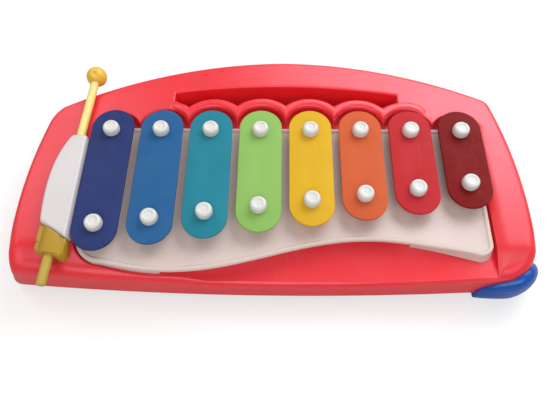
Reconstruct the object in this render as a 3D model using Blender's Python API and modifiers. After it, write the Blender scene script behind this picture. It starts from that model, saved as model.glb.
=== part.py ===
"""Toy xylophone with metal bars, a moulded body, a sound tray and a stored mallet.

Metres, +Z up. The bars run along Y, the longest bar is at -X, and the object rests on Z = 0.
Every size comes from the driving dimensions below, so a change of one moves all that meets it.
"""

import math

import bmesh
import bpy
from mathutils import Matrix, Vector

MM = 0.001

# Walls and clearances
WALL = 2.5 * MM
TOUCH_GAP = 0.3 * MM
OVERRUN = 4 * MM

# Bars: the row is where the plan starts from
BAR_COUNT = 8
BAR_WIDTH = 40 * MM
BAR_GAP = 6.9 * MM
BAR_PITCH = BAR_WIDTH + BAR_GAP
LONGEST_BAR = 146 * MM
BAR_STEP = 6 * MM
BAR_THICK = 2.6 * MM
PEG_INSET = 24 * MM
ROW_X = 6.2 * MM
ROW_REAR = 54.5 * MM
ROW_FRONT = ROW_REAR - LONGEST_BAR
ROW_REACH = BAR_PITCH * (BAR_COUNT - 1) / 2
ROW_LEFT = ROW_X - ROW_REACH - BAR_WIDTH / 2
ROW_RIGHT = ROW_X + ROW_REACH + BAR_WIDTH / 2

# Levels, from the table upwards
BODY_FLOOR = 8 * MM
BODY_HEIGHT = 40 * MM
APRON_DROP = 11 * MM
BASIN_DEPTH = 15 * MM
TRAY_HEIGHT = 8 * MM
BAND_RISE = 4 * MM
BAR_CLEAR = 5.4 * MM
CROWN = 1.2 * MM
DECK_TOP = BODY_FLOOR + BODY_HEIGHT
APRON_TOP = DECK_TOP - APRON_DROP
BASIN_FLOOR = APRON_TOP - BASIN_DEPTH
TRAY_TOP = APRON_TOP + TRAY_HEIGHT
BAND_TOP = DECK_TOP + BAND_RISE
BAR_TOP = DECK_TOP + BAR_CLEAR + BAR_THICK

# Lowered pocket under the bars, with a scallop behind each bar
POCKET_PAST = 0.45 * MM
POCKET_SHORT = 1.85 * MM
SCALLOP_CLEAR = 2.5 * MM
SCALLOP_BACK = 3.5 * MM
SCALLOP_BAND = 10.5 * MM
SCALLOP_DROP = 7.55 * MM
BAND_ROUND = 4.2 * MM
BAND_SINK = 1.5 * MM
BAND_FADE = 16 * MM
BAND_PAST_LEFT = 6 * MM
BAND_PAST_RIGHT = 30 * MM
POCKET_LEFT = ROW_LEFT - POCKET_PAST
POCKET_RIGHT = ROW_RIGHT - POCKET_SHORT
POCKET_LENGTH = POCKET_RIGHT - POCKET_LEFT
SCALLOP_IN = BAR_PITCH / 2 + SCALLOP_CLEAR
SCALLOP_OUT = SCALLOP_IN + SCALLOP_BAND
SCALLOP_ARCH = ROW_REAR - BAR_WIDTH / 2 + SCALLOP_BACK

# Grip slot behind the scallops and the rail of the handle
SLOT_WIDTH = 15.75 * MM
SLOT_BOW = 9.18 * MM
SLOT_INSET_LEFT = 7.05 * MM
SLOT_INSET_RIGHT = 6.45 * MM
SLOT_FLANGE = 22 * MM
HANDLE_DEPTH = 35.8 * MM
SLOT_LEFT = ROW_LEFT + BAR_WIDTH / 2 + BAR_PITCH + SLOT_INSET_LEFT
SLOT_RIGHT = ROW_RIGHT - BAR_WIDTH / 2 - BAR_PITCH - SLOT_INSET_RIGHT
SLOT_REAR = SCALLOP_ARCH + SCALLOP_OUT + SLOT_WIDTH
SLOT_REAR_R = ((SLOT_RIGHT - SLOT_LEFT) ** 2 / 4 + SLOT_BOW ** 2) / (2 * SLOT_BOW)

# Plan of the body: four large arcs joined by four corner radii
LEFT_DECK = 67.6 * MM
RIGHT_DECK = 41.1 * MM
FRONT_DECK = 23.5 * MM
ARCH_RISE = 65.73 * MM
ARCH_OFFSET = 10.2 * MM
SIDE_BOW = 16.06 * MM
SIDE_BOW_OFFSET = 55.5 * MM
FRONT_BOW = 8.84 * MM
CORNERS = {"front_left": 28 * MM, "front_right": 30 * MM, "rear_right": 19 * MM, "rear_left": 38 * MM}
BODY_LEFT = POCKET_LEFT - LEFT_DECK
BODY_RIGHT = POCKET_RIGHT + RIGHT_DECK
BODY_REAR = SLOT_REAR + HANDLE_DEPTH
BODY_FRONT = ROW_FRONT - FRONT_DECK
BODY_LENGTH = BODY_RIGHT - BODY_LEFT
BODY_DEPTH = BODY_REAR - BODY_FRONT
ARCH_X = (BODY_LEFT + BODY_RIGHT) / 2 + ARCH_OFFSET
SIDE_BOW_Y = (BODY_FRONT + BODY_REAR) / 2 - SIDE_BOW_OFFSET
REAR_R = (BODY_LENGTH ** 2 / 4 + ARCH_RISE ** 2) / (2 * ARCH_RISE)
SIDE_R = (BODY_DEPTH ** 2 / 4 + SIDE_BOW ** 2) / (2 * SIDE_BOW)
FRONT_R = (BODY_LENGTH ** 2 / 4 + FRONT_BOW ** 2) / (2 * FRONT_BOW)

# Edges and slopes of the body
DECK_EDGE = 7 * MM
DECK_EDGE_CORNER = 14 * MM
EDGE_GROWTH = 50 * MM
TAPER_FRONT = 1 * MM
TAPER_LEFT = 10 * MM
TAPER_RIGHT = 5 * MM
SLOPE_LENGTH = 26 * MM
SLOPE_LEVEL = 7 * MM
SLOPE_END = BODY_FRONT + SLOPE_LEVEL
SLOPE_START = SLOPE_END + SLOPE_LENGTH
EDGE_GROWTH_Y = BODY_FRONT + EDGE_GROWTH
SLOPE_SOFT_SHARE = 0.35
RIB_THICK = 2.2 * MM
RIB_BARS = (1, 3, 4, 6)

# Sound tray, its basin and the scooped apron
TRAY_GAP = 1.2 * MM
TRAY_BACK = 3.5 * MM
TRAY_PAST = 0.75 * MM
TRAY_WAVE = 14.75 * MM
TRAY_DRAFT = 1.2 * MM
TRAY_RIM = 4.5 * MM
TRAY_FIELD_DROP = 1 * MM
TRAY_CORNER_LEFT = 24 * MM
TRAY_CORNER_RIGHT = 13 * MM
SOUND_SLOT = 5 * MM
BASIN_INSET = 9 * MM
SCOOP_R = 70 * MM
SCOOP_DEPTH = 4.5 * MM
SCOOP_MIDDLE_SHARE = 0.15
SCOOP_END_SHARE = 0.25
TRAY_REAR = SCALLOP_ARCH + TRAY_BACK
TRAY_WAVE_MID = ROW_FRONT + TRAY_PAST
WAVE_LOW_SHARE = 0.2273
WAVE_HALF_SHARE = 0.477
LIP_LEFT_SHARE = 0.211
LIP_RIGHT_SHARE = 0.7997
TRAY_WAVE_LOW_X = POCKET_LEFT + POCKET_LENGTH * WAVE_LOW_SHARE
TRAY_WAVE_HALF = POCKET_LENGTH * WAVE_HALF_SHARE
LIP_LEFT_END = POCKET_LEFT + POCKET_LENGTH * LIP_LEFT_SHARE
LIP_RIGHT_START = POCKET_LEFT + POCKET_LENGTH * LIP_RIGHT_SHARE

# Posts, pegs and grommets
SHANK_R = 2.5 * MM
SHANK_CLEAR = 0.3 * MM
POST_WALL = 2.4 * MM
POST_FOOT = 1.5 * MM
NECK_WALL = 0.4 * MM
GROMMET_FLANGE = 2.7 * MM
GROMMET_THICK = 1.6 * MM
HEAD_FLANGE = 4.1 * MM
HEAD_HEIGHT = 7.4 * MM
DIMPLE_R = 4.2 * MM
DIMPLE_DEPTH = 0.8 * MM
HOLE_R = SHANK_R + NECK_WALL + SHANK_CLEAR * 2
POST_R = SHANK_R + SHANK_CLEAR + POST_WALL
GROMMET_R = HOLE_R + GROMMET_FLANGE
HEAD_R = HOLE_R + HEAD_FLANGE
SHANK_TIP = APRON_TOP + WALL + POST_FOOT
POST_TOP = BAR_TOP - BAR_THICK - TOUCH_GAP - GROMMET_THICK - TOUCH_GAP
HEAD_SHARES = ((0.96, 0.0), (1.0, 0.2), (0.97, 0.62), (0.84, 0.92), (0.66, 1.0))
TIP_SHARE = 0.7

# Screws
SCREW_R = 1.6 * MM
SCREW_HEAD_R = 3.4 * MM
SCREW_HEAD = 2.2 * MM
HOLDER_SCREW = 10 * MM
TRAY_SCREW = 14 * MM
TRAY_SCREW_INSET = 46.5 * MM
BOSS_R = 4.6 * MM
SCREW_SLOT_SHARES = (0.5, 0.45)
SCREW_ROUND_SHARES = (0.85, 0.5)

# Mallet
SHAFT_R = 4 * MM
BALL_R = 10 * MM
BALL_SOCKET = 7 * MM
TAIL_ASIDE = 15.2 * MM
BALL_ASIDE = 6.6 * MM
TAIL_PAST = 6.8 * MM
BALL_PAST = 43 * MM
MALLET_TAIL = Vector((POCKET_LEFT - TAIL_ASIDE, BODY_FRONT - TAIL_PAST))
MALLET_BALL = Vector((POCKET_LEFT - BALL_ASIDE, ROW_REAR + BALL_PAST))
MALLET_AXIS_Z = DECK_TOP + CROWN + TOUCH_GAP + SHAFT_R
SHAFT_TAPER_SHARE = 0.25

# Holder of the mallet: a white cover and a yellow end block
CHANNEL_CLEAR = 0.6 * MM
HOLDER_ROOF = 3.5 * MM
COVER_ASIDE = 0.6 * MM
COVER_MARGIN = 2.9 * MM
COVER_BACK = 31.9 * MM
COVER_LEAD_LEFT = 48 * MM
COVER_LEAD_RIGHT = 33.5 * MM
COVER_ROUND = 2.75 * MM
BLOCK_LEAD_LEFT = 21 * MM
BLOCK_LEAD_RIGHT = 17.5 * MM
BLOCK_FLARE = 1 * MM
BLOCK_CORNER = 3 * MM
BLOCK_ROUND = 1.8 * MM
BLOCK_STEP = 3.6 * MM
HUMP_WIDE = 2.6 * MM
HUMP_LEAD = 1.2 * MM
RECESS_LENGTH = 7 * MM
RECESS_WIDTH = 4.5 * MM
RECESS_DEPTH = 2 * MM
HOLDER_TOP = MALLET_AXIS_Z + SHAFT_R + HOLDER_ROOF
SCREW_ASIDE = SHAFT_R + CHANNEL_CLEAR + WALL + SCREW_HEAD_R
COVER_RIGHT = POCKET_LEFT - COVER_ASIDE
COVER_LEFT = MALLET_TAIL.x - SCREW_ASIDE - COVER_MARGIN
COVER_REAR = ROW_REAR - COVER_BACK
COVER_FRONT_LEFT = BODY_FRONT + COVER_LEAD_LEFT
COVER_FRONT_RIGHT = BODY_FRONT + COVER_LEAD_RIGHT
BLOCK_FRONT_LEFT = BODY_FRONT + BLOCK_LEAD_LEFT
BLOCK_FRONT_RIGHT = BODY_FRONT + BLOCK_LEAD_RIGHT
BLOCK_SHOULDER = HOLDER_TOP - BLOCK_STEP
COVER_BOW_SHARE = 0.5
COVER_TUCK_SHARE = 0.1
HOLDER_SCREW_SHARES = (0.453, 0.833)

# Feet
PAD_R = 11 * MM
PAD_SIDE = 40 * MM
PAD_FRONT = 24 * MM
PAD_REAR = 3.3 * MM
PAD_STEM_R = 3 * MM
PAD_STEM = 9 * MM
FOOT_REACH = 8.5 * MM
BUMPER_HEIGHT = 37 * MM
BUMPER_REACH_IN = 14 * MM
BUMPER_LEAD = 24 * MM
PAD_ROUND_SHARES = (0.85, 0.45)
STEM_ROUND_SHARES = (0.85, 0.7)
BUMPER_SWELL_SHARES = (0.04, 0.84)
BUMPER_SHARES = ((0.0, 0.0), (0.55, 0.03), (0.9, 0.2), (1.0, 0.45), (0.86, 0.72), (0.45, 0.93))
BUMPER_BACK_SHARES = ((0.2, 1.0), (0.7, 0.98), (1.0, 0.8))

# Mesh resolution
SIDE_STEPS = 5
CORNER_STEPS = 7
LONG_STEPS = 18
EDGE_STEPS = 4
DECK_ROWS = 11
CAVITY_ROWS = 6
SCALLOP_STEPS = 9
BAND_STEPS = 3
WAVE_STEPS = 26
ROUND_STEPS = 24
SMALL_STEPS = 10


def clear_scene():
    """Removes what the startup file holds."""
    for obj in list(bpy.data.objects):
        bpy.data.objects.remove(obj, do_unlink=True)


def new_collection(name, hidden=False):
    """Makes a collection under the scene's own."""
    made = bpy.data.collections.new(name)
    bpy.context.scene.collection.children.link(made)
    made.hide_render = hidden
    return made


def material(name, color, roughness, metallic=0.0):
    """Makes a Principled material."""
    made = bpy.data.materials.new(name)
    made.use_nodes = True
    shader = made.node_tree.nodes["Principled BSDF"]
    shader.inputs["Base Color"].default_value = (*color, 1.0)
    shader.inputs["Roughness"].default_value = roughness
    shader.inputs["Metallic"].default_value = metallic
    return made


def to_object(name, points, faces, home, look=None):
    """Makes a mesh object whose faces all point outwards."""
    mesh = bpy.data.meshes.new(name)
    mesh.from_pydata([tuple(p) for p in points], [], faces)
    work = bmesh.new()
    work.from_mesh(mesh)
    bmesh.ops.remove_doubles(work, verts=work.verts, dist=WALL / 1000)
    bmesh.ops.recalc_face_normals(work, faces=work.faces)
    work.to_mesh(mesh)
    work.free()
    obj = bpy.data.objects.new(name, mesh)
    home.objects.link(obj)
    if home is CUTTERS:
        obj.display_type = "WIRE"
        obj.hide_render = True
    if look:
        mesh.materials.append(look)
    return obj


def finish(obj, angle=35):
    """Smooths the round faces and keeps the sharp edges."""
    obj.data.shade_smooth()
    obj.data.set_sharp_from_angle(angle=math.radians(angle))
    return obj


def boolean(obj, tool, operation):
    """Adds an exact Boolean that cuts the tool from the object or joins it."""
    step = obj.modifiers.new(f"{operation.lower()}_{tool.name}", "BOOLEAN")
    step.operation = operation
    step.solver = "EXACT"
    step.object = tool
    return step


def cut(obj, *tools):
    for tool in tools:
        boolean(obj, tool, "DIFFERENCE")
    return obj


def join(obj, *tools):
    for tool in tools:
        boolean(obj, tool, "UNION")
    return obj


def settle(obj):
    """Turns the object's modifiers into its mesh."""
    bpy.context.view_layer.update()
    graph = bpy.context.evaluated_depsgraph_get()
    mesh = bpy.data.meshes.new_from_object(obj.evaluated_get(graph))
    looks = list(obj.data.materials)
    obj.modifiers.clear()
    obj.data = mesh
    if looks:
        mesh.materials.clear()
        mesh.materials.append(looks[0])
        mesh.polygons.foreach_set("material_index", [0] * len(mesh.polygons))
    return obj


def prism(name, outline, low, high, home, look=None):
    """Extrudes a plan outline from one level to another."""
    count = len(outline)
    points = [(p[0], p[1], level) for level in (low, high) for p in outline]
    faces = [tuple(range(count)), tuple(range(count, 2 * count))]
    for i in range(count):
        after = (i + 1) % count
        faces.append((i, after, count + after, count + i))
    return to_object(name, points, faces, home, look)


def box(name, low, high, home):
    """Makes a box between two corners."""
    outline = [(low[0], low[1]), (high[0], low[1]), (high[0], high[1]), (low[0], high[1])]
    return prism(name, outline, low[2], high[2], home)


def arc(centre, radius, start, end, steps):
    """Points of an arc, both ends included. Angles are in radians."""
    turn = (end - start) / steps
    angles = [start + turn * i for i in range(steps + 1)]
    return [Vector((centre[0] + radius * math.cos(a), centre[1] + radius * math.sin(a))) for a in angles]


def circle(centre, radius, steps=SMALL_STEPS):
    return arc(centre, radius, 0, math.tau, steps)[:-1]


def revolve(name, profile, steps, home, look, place=(0, 0, 0)):
    """Turns (radius, height) pairs about Z. A profile starts and ends on the axis or is closed."""
    points = []
    rings = []
    for radius, height in profile:
        first = len(points)
        if radius == 0:
            points.append((0, 0, height))
            rings.append([first] * steps)
            continue
        points += [(p.x, p.y, height) for p in circle((0, 0), radius, steps)]
        rings.append(list(range(first, first + steps)))
    faces = []
    for low, high in zip(rings, rings[1:]):
        for i in range(steps):
            after = (i + 1) % steps
            corners = (low[i], low[after], high[after], high[i])
            faces.append(tuple(dict.fromkeys(corners)))
    made = to_object(name, points, faces, home, look)
    made.location = place
    return made


def meet(first, second, above):
    """Where two circles cross, on the side that the flag picks."""
    (a, ra), (b, rb) = first, second
    apart = b - a
    length = apart.length
    along = (ra * ra - rb * rb + length * length) / (2 * length)
    off = math.sqrt(ra * ra - along * along)
    unit = apart / length
    side = Vector((-unit.y, unit.x)) * (off if above else -off)
    return a + unit * along + side


def body_outline(offset=0.0):
    """The body's plan, drawn in by the offset. It starts at the middle of the left side, anticlockwise.

    Each side is part of a large disc and each corner is an arc tangent to two of them.
    """
    discs = {
        "left": (Vector((BODY_LEFT + SIDE_R, SIDE_BOW_Y)), SIDE_R - offset),
        "front": (Vector((ARCH_X, BODY_FRONT + FRONT_R)), FRONT_R - offset),
        "right": (Vector((BODY_RIGHT - SIDE_R, SIDE_BOW_Y)), SIDE_R - offset),
        "rear": (Vector((ARCH_X, BODY_REAR - REAR_R)), REAR_R - offset),
    }
    quadrants = {"front_left": (-1, -1), "front_right": (1, -1), "rear_right": (1, 1), "rear_left": (-1, 1)}
    fillets = {}
    for name, radius in CORNERS.items():
        end, side = name.split("_")
        radius -= offset
        spots = []
        for above in (True, False):
            first = (discs[side][0], discs[side][1] - radius)
            second = (discs[end][0], discs[end][1] - radius)
            spots.append(meet(first, second, above))
        way = quadrants[name]
        fillets[name] = (max(spots, key=lambda p: p.x * way[0] + p.y * way[1]), radius)

    def angle_on(disc, fillet):
        away = fillets[fillet][0] - discs[disc][0]
        return math.atan2(away.y, away.x) % math.tau

    def stretch(disc, start, end, steps):
        if end < start:
            end += math.tau
        return arc(discs[disc][0], discs[disc][1], start, end, steps)[:-1]

    def corner(name, before, after):
        start = angle_on(before, name)
        end = angle_on(after, name)
        if end < start:
            end += math.tau
        return arc(fillets[name][0], fillets[name][1], start, end, CORNER_STEPS)[:-1]

    outline = stretch("left", math.pi, angle_on("left", "front_left"), SIDE_STEPS)
    outline += corner("front_left", "left", "front")
    outline += stretch("front", angle_on("front", "front_left"), angle_on("front", "front_right"), LONG_STEPS)
    outline += corner("front_right", "front", "right")
    outline += stretch("right", angle_on("right", "front_right"), 0.0, SIDE_STEPS)
    outline += stretch("right", 0.0, angle_on("right", "rear_right"), SIDE_STEPS)
    outline += corner("rear_right", "right", "rear")
    outline += stretch("rear", angle_on("rear", "rear_right"), angle_on("rear", "rear_left"), LONG_STEPS)
    outline += corner("rear_left", "rear", "left")
    outline += stretch("left", angle_on("left", "rear_left"), math.pi, SIDE_STEPS)
    return outline


def body_rim():
    """The body's lower outline as (point, way inwards) pairs."""
    outline = body_outline()
    inner = body_outline(WALL)
    return [(p, (q - p).normalized()) for p, q in zip(outline, inner)]


def deck_level(point):
    """Height of the deck: crowned towards the rear arch and sloping down at the front."""
    share = min(max((SLOPE_START - point.y) / (SLOPE_START - SLOPE_END), 0), 1)
    slope = share * share * (3 - 2 * share) * SLOPE_SOFT_SHARE + share * (1 - SLOPE_SOFT_SHARE)
    across = min(max((point.y - SLOPE_START) / (BODY_REAR - SLOPE_START), 0), 1)
    crown = CROWN * math.sin(math.pi * across)
    return DECK_TOP + crown - slope * (DECK_TOP - APRON_TOP)


def edge_radius(point):
    """The deck's edge is rounder towards the two front corners."""
    front = min(max((EDGE_GROWTH_Y - point.y) / (EDGE_GROWTH_Y - BODY_FRONT), 0), 1)
    aside = min(abs(point.x - ARCH_X) / (BODY_LENGTH / 2), 1)
    return DECK_EDGE + (DECK_EDGE_CORNER - DECK_EDGE) * front * aside ** 2


def side_taper(way):
    """How far the wall draws in from the floor to the deck: more at the ends than at the front and rear."""
    end = TAPER_LEFT if way.x > 0 else TAPER_RIGHT
    return TAPER_FRONT + (end - TAPER_FRONT) * abs(way.x)


def body_solid(name, home, look=None, inset=0.0, low=BODY_FLOOR, sink=0.0, rows=DECK_ROWS):
    """The body's outer form, or the same form drawn in by the inset and lowered by the sink."""
    rings = [[Vector((*(point + way * inset), low)) for point, way in body_rim()]]
    for i in range(EDGE_STEPS + 1):
        angle = math.pi / 2 * i / EDGE_STEPS
        ring = []
        for point, way in body_rim():
            radius = edge_radius(point)
            level = deck_level(point + way * (side_taper(way) + radius))
            offset = side_taper(way) + radius * (1 - math.cos(angle)) + inset
            drop = radius * (1 - math.sin(angle)) + sink
            ring.append(Vector((*(point + way * offset), level - drop)))
        rings.append(ring)
    count = len(rings[0])
    points = [p for ring in rings for p in ring]
    faces = [tuple(range(count))]
    for k in range(len(rings) - 1):
        for i in range(count):
            after = (i + 1) % count
            faces.append((k * count + i, k * count + after, (k + 1) * count + after, (k + 1) * count + i))
    top = rings[-1]
    base = (len(rings) - 1) * count
    half = count // 2
    columns = [[base]]
    for i in range(1, half):
        front, rear = top[i], top[count - i]
        column = [base + i]
        for r in range(1, rows):
            share = r / rows
            share = share * share * (3 - 2 * share)
            spot = front.lerp(rear, share)
            spot.z = deck_level(spot) - sink
            column.append(len(points))
            points.append(spot)
        columns.append(column + [base + count - i])
    columns.append([base + half])
    for left, right in zip(columns, columns[1:]):
        for r in range(rows):
            quad = (left[min(r, len(left) - 1)], right[min(r, len(right) - 1)])
            quad += (right[min(r + 1, len(right) - 1)], left[min(r + 1, len(left) - 1)])
            face = tuple(dict.fromkeys(quad))
            if len(face) > 2:
                faces.append(face)
    return to_object(name, points, faces, home, look)


def bar_x(index):
    return ROW_X - ROW_REACH + index * BAR_PITCH


def bar_length(index):
    return LONGEST_BAR - index * BAR_STEP


def peg_spots(index):
    """The rear and the front peg of a bar."""
    front = ROW_REAR - bar_length(index) + PEG_INSET
    return [(bar_x(index), ROW_REAR - PEG_INSET), (bar_x(index), front)]


def scallop_centre(index):
    """Centre of the scallop round a bar's rear end. The centres follow a shallow arch."""
    x = bar_x(index)
    return Vector((x, SCALLOP_ARCH - SCALLOP_DROP * ((x - ARCH_X) / ROW_REACH) ** 2))


def scallop_edge(radius, left, right, steps=SCALLOP_STEPS):
    """The scalloped line from left to right, as the rear edge of a row of discs."""
    centres = [scallop_centre(i) for i in range(BAR_COUNT)]

    def height(x):
        reach = [c.y + math.sqrt(radius ** 2 - (x - c.x) ** 2) for c in centres if abs(x - c.x) < radius]
        return max(reach)

    stops = []
    for a, b in zip(centres, centres[1:]):
        stops.append(meet((a, radius), (b, radius), True).x)
    stops = [left] + [s for s in stops if left < s < right] + [right]
    line = []
    for a, b in zip(stops, stops[1:]):
        for i in range(steps):
            share = (1 - math.cos(math.pi * i / steps)) / 2
            line.append(Vector((a + (b - a) * share, height(a + (b - a) * share))))
    line.append(Vector((right, height(right))))
    return line


def slot_outline(grow=0.0):
    """The grip slot: an arc behind and the scallops in front."""
    left, right = SLOT_LEFT - grow, SLOT_RIGHT + grow
    centre = Vector((ARCH_X, SLOT_REAR - SLOT_REAR_R))
    radius = SLOT_REAR_R + grow
    start = math.acos((right - centre.x) / radius)
    end = math.acos((left - centre.x) / radius)
    rear = arc(centre, radius, start, end, LONG_STEPS)
    return scallop_edge(SCALLOP_OUT - grow, left, right) + rear


def pocket_outline(grow=0.0):
    """The lowered middle of the deck: scalloped behind, round the tray's left corner and open at the front."""
    left, right = POCKET_LEFT - grow, POCKET_RIGHT + grow
    front = BODY_FRONT - OVERRUN * 3
    lead = tray_outline(-TRAY_GAP - grow)
    lead = [p for p in lead if p.x < LIP_LEFT_END and p.y < TRAY_WAVE_MID + TRAY_WAVE]
    rear = scallop_edge(SCALLOP_IN + grow, left, right)
    return lead + [Vector((LIP_LEFT_END, front)), Vector((right, front))] + rear[::-1]


def tray_front(x):
    """The tray's front edge, a half wave that leaves room for the apron at the short bars."""
    turn = math.pi * (x - TRAY_WAVE_LOW_X) / TRAY_WAVE_HALF
    return TRAY_WAVE_MID - TRAY_WAVE * math.cos(turn)


def tray_outline(inset=0.0, steps=WAVE_STEPS):
    """The tray's plan, with a round corner at each end of the wave."""
    left = POCKET_LEFT + TRAY_GAP + inset
    right = POCKET_RIGHT - TRAY_GAP - inset
    rear = TRAY_REAR - inset
    near = TRAY_CORNER_LEFT - min(inset, TRAY_CORNER_LEFT / 2)
    far = TRAY_CORNER_RIGHT - min(inset, TRAY_CORNER_RIGHT / 2)
    first, last = left + near, right - far
    wave = []
    for i in range(steps + 1):
        x = first + (last - first) * i / steps
        wave.append(Vector((x, tray_front(x) + inset)))
    left_corner = arc((first, wave[0].y + near), near, math.pi, 1.5 * math.pi, CORNER_STEPS)[:-1]
    right_corner = arc((last, wave[-1].y + far), far, 1.5 * math.pi, math.tau, CORNER_STEPS)[1:]
    back = arc((right - far, rear - far), far, 0, math.pi / 2, CORNER_STEPS)
    back += arc((left + far, rear - far), far, math.pi / 2, math.pi, CORNER_STEPS)
    return left_corner + wave + right_corner + back


def make_band():
    """The broad rounded band between the scallops and the grip slot, which fades into the deck at both ends."""
    left, right = SLOT_LEFT - BAND_PAST_LEFT, SLOT_RIGHT + BAND_PAST_RIGHT
    low = DECK_TOP - BAND_SINK
    levels = [(0, None)]
    for k in range(BAND_STEPS + 1):
        angle = math.pi / 2 * k / BAND_STEPS
        levels.append((BAND_ROUND * (1 - math.cos(angle)), BAND_ROUND * (1 - math.sin(angle))))
    lines = [(scallop_edge(SCALLOP_OUT - inset, left, right), drop) for inset, drop in levels]
    lines += [(scallop_edge(SCALLOP_IN + inset, left, right), drop) for inset, drop in reversed(levels)]
    width = len(lines)
    points = []
    for i in range(len(lines[0][0])):
        for line, drop in lines:
            fade = min(line[i].x - left, right - line[i].x) / BAND_FADE
            fade = math.sin(math.pi / 2 * min(max(fade, 0), 1))
            top = DECK_TOP - TOUCH_GAP + (BAND_RISE + TOUCH_GAP) * fade
            level = low if drop is None else max(top - drop, low + TOUCH_GAP)
            points.append((line[i].x, line[i].y, level))
    stations = len(lines[0][0])
    faces = [tuple(range(width)), tuple(range((stations - 1) * width, stations * width))]
    for k in range(stations - 1):
        for t in range(width):
            after = (t + 1) % width
            faces.append((k * width + t, k * width + after, (k + 1) * width + after, (k + 1) * width + t))
    return to_object("band", points, faces, CUTTERS)


def foot_spots():
    """Where the three round pads stand."""
    left, right = BODY_LEFT + PAD_SIDE, BODY_RIGHT - PAD_SIDE
    rear = BODY_REAR - ARCH_RISE - PAD_REAR
    return {
        "foot_front_left": (left, BODY_FRONT + PAD_FRONT),
        "foot_rear_left": (left, rear),
        "foot_rear_right": (right, rear),
    }


def tray_screw_spots():
    """Four screws hold the tray, between the outer pairs of bars."""
    left = (bar_x(0) + bar_x(1)) / 2
    right = (bar_x(BAR_COUNT - 2) + bar_x(BAR_COUNT - 1)) / 2
    rows = (ROW_FRONT + TRAY_SCREW_INSET, ROW_REAR - TRAY_SCREW_INSET)
    return [(x, y) for x in (left, right) for y in rows]


def mallet_way():
    return (MALLET_BALL - MALLET_TAIL).normalized()


def mallet_point(y):
    """A point of the mallet's axis at this depth."""
    way = mallet_way()
    return MALLET_TAIL + way * ((y - MALLET_TAIL.y) / way.y)


def make_body(home, look):
    """The red moulded body: arched deck, grip slot, scalloped rim, apron, basin and hollow underside."""
    body = body_solid("body_shell", home, look)
    join(body, make_band())
    top = BAND_TOP + OVERRUN
    pocket = prism("pocket_cutter", pocket_outline(), APRON_TOP, top, CUTTERS)
    basin = prism("basin_cutter", tray_outline(BASIN_INSET), BASIN_FLOOR, top, CUTTERS)
    slot = prism("slot_cutter", slot_outline(), BODY_FLOOR - OVERRUN, top, CUTTERS)
    cut(body, pocket, basin, make_scoop(), make_cavity(), slot)
    for spot in tray_screw_spots() + holder_screw_spots():
        cut(body, prism("screw_way", circle(spot, SCREW_R + TOUCH_GAP), 0, top, CUTTERS))
    stem_top = BODY_FLOOR + PAD_STEM + WALL
    for spot in foot_spots().values():
        cut(body, prism("stem_way", circle(spot, PAD_STEM_R + TOUCH_GAP), 0, stem_top, CUTTERS))
    return finish(settle(body), 40)


def make_scoop():
    """A shallow round trough in the apron that runs under the tray's raised edge."""
    left, right = LIP_LEFT_END, LIP_RIGHT_START
    top = APRON_TOP + OVERRUN / 2
    centre_z = APRON_TOP - SCOOP_DEPTH + SCOOP_R
    half = math.acos(1 - (SCOOP_DEPTH + OVERRUN / 2) / SCOOP_R)
    steps = 12
    stations = 24
    points = []
    for k in range(stations + 1):
        x = left + (right - left) * k / stations
        end = math.sin(math.pi * k / stations) ** 0.4 if 0 < k < stations else SCOOP_END_SHARE
        middle = tray_front(x) + SCOOP_R * math.sin(half) * SCOOP_MIDDLE_SHARE
        for s in range(steps + 1):
            angle = half * (2 * s / steps - 1)
            y = middle + SCOOP_R * math.sin(angle)
            z = top + (centre_z - SCOOP_R * math.cos(angle) - top) * end
            points.append((x, y, z))
    width = steps + 1
    faces = [tuple(range(width)), tuple(range(stations * width, (stations + 1) * width))]
    for k in range(stations):
        for s in range(steps):
            faces.append((k * width + s, k * width + s + 1, (k + 1) * width + s + 1, (k + 1) * width + s))
        faces.append((k * width + steps, k * width, (k + 1) * width, (k + 1) * width + steps))
    return to_object("scoop_cutter", points, faces, CUTTERS)


def make_cavity():
    """The hollow underside, leaving the walls, ribs and bosses."""
    cavity = body_solid("cavity_cutter", CUTTERS, None, WALL, BODY_FLOOR - OVERRUN, WALL, CAVITY_ROWS)
    top = BAND_TOP + OVERRUN
    apron = APRON_TOP - SCOOP_DEPTH - WALL
    keep = [prism("pocket_keep", pocket_outline(WALL), apron, top, CUTTERS)]
    keep.append(prism("basin_keep", tray_outline(BASIN_INSET - WALL), BASIN_FLOOR - WALL, top, CUTTERS))
    keep.append(prism("slot_keep", slot_outline(WALL), DECK_TOP - SLOT_FLANGE, top, CUTTERS))
    for i in RIB_BARS:
        low = (bar_x(i) - RIB_THICK / 2, BODY_FRONT - OVERRUN, BODY_FLOOR + WALL * 2)
        high = (bar_x(i) + RIB_THICK / 2, SLOT_REAR - SLOT_WIDTH, top)
        keep.append(box(f"rib_keep_{i}", low, high, CUTTERS))
    for name, spot in foot_spots().items():
        keep.append(prism(f"{name}_keep", circle(spot, BOSS_R), BODY_FLOOR, top, CUTTERS))
    cut(cavity, *keep)
    return settle(cavity)


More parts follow.
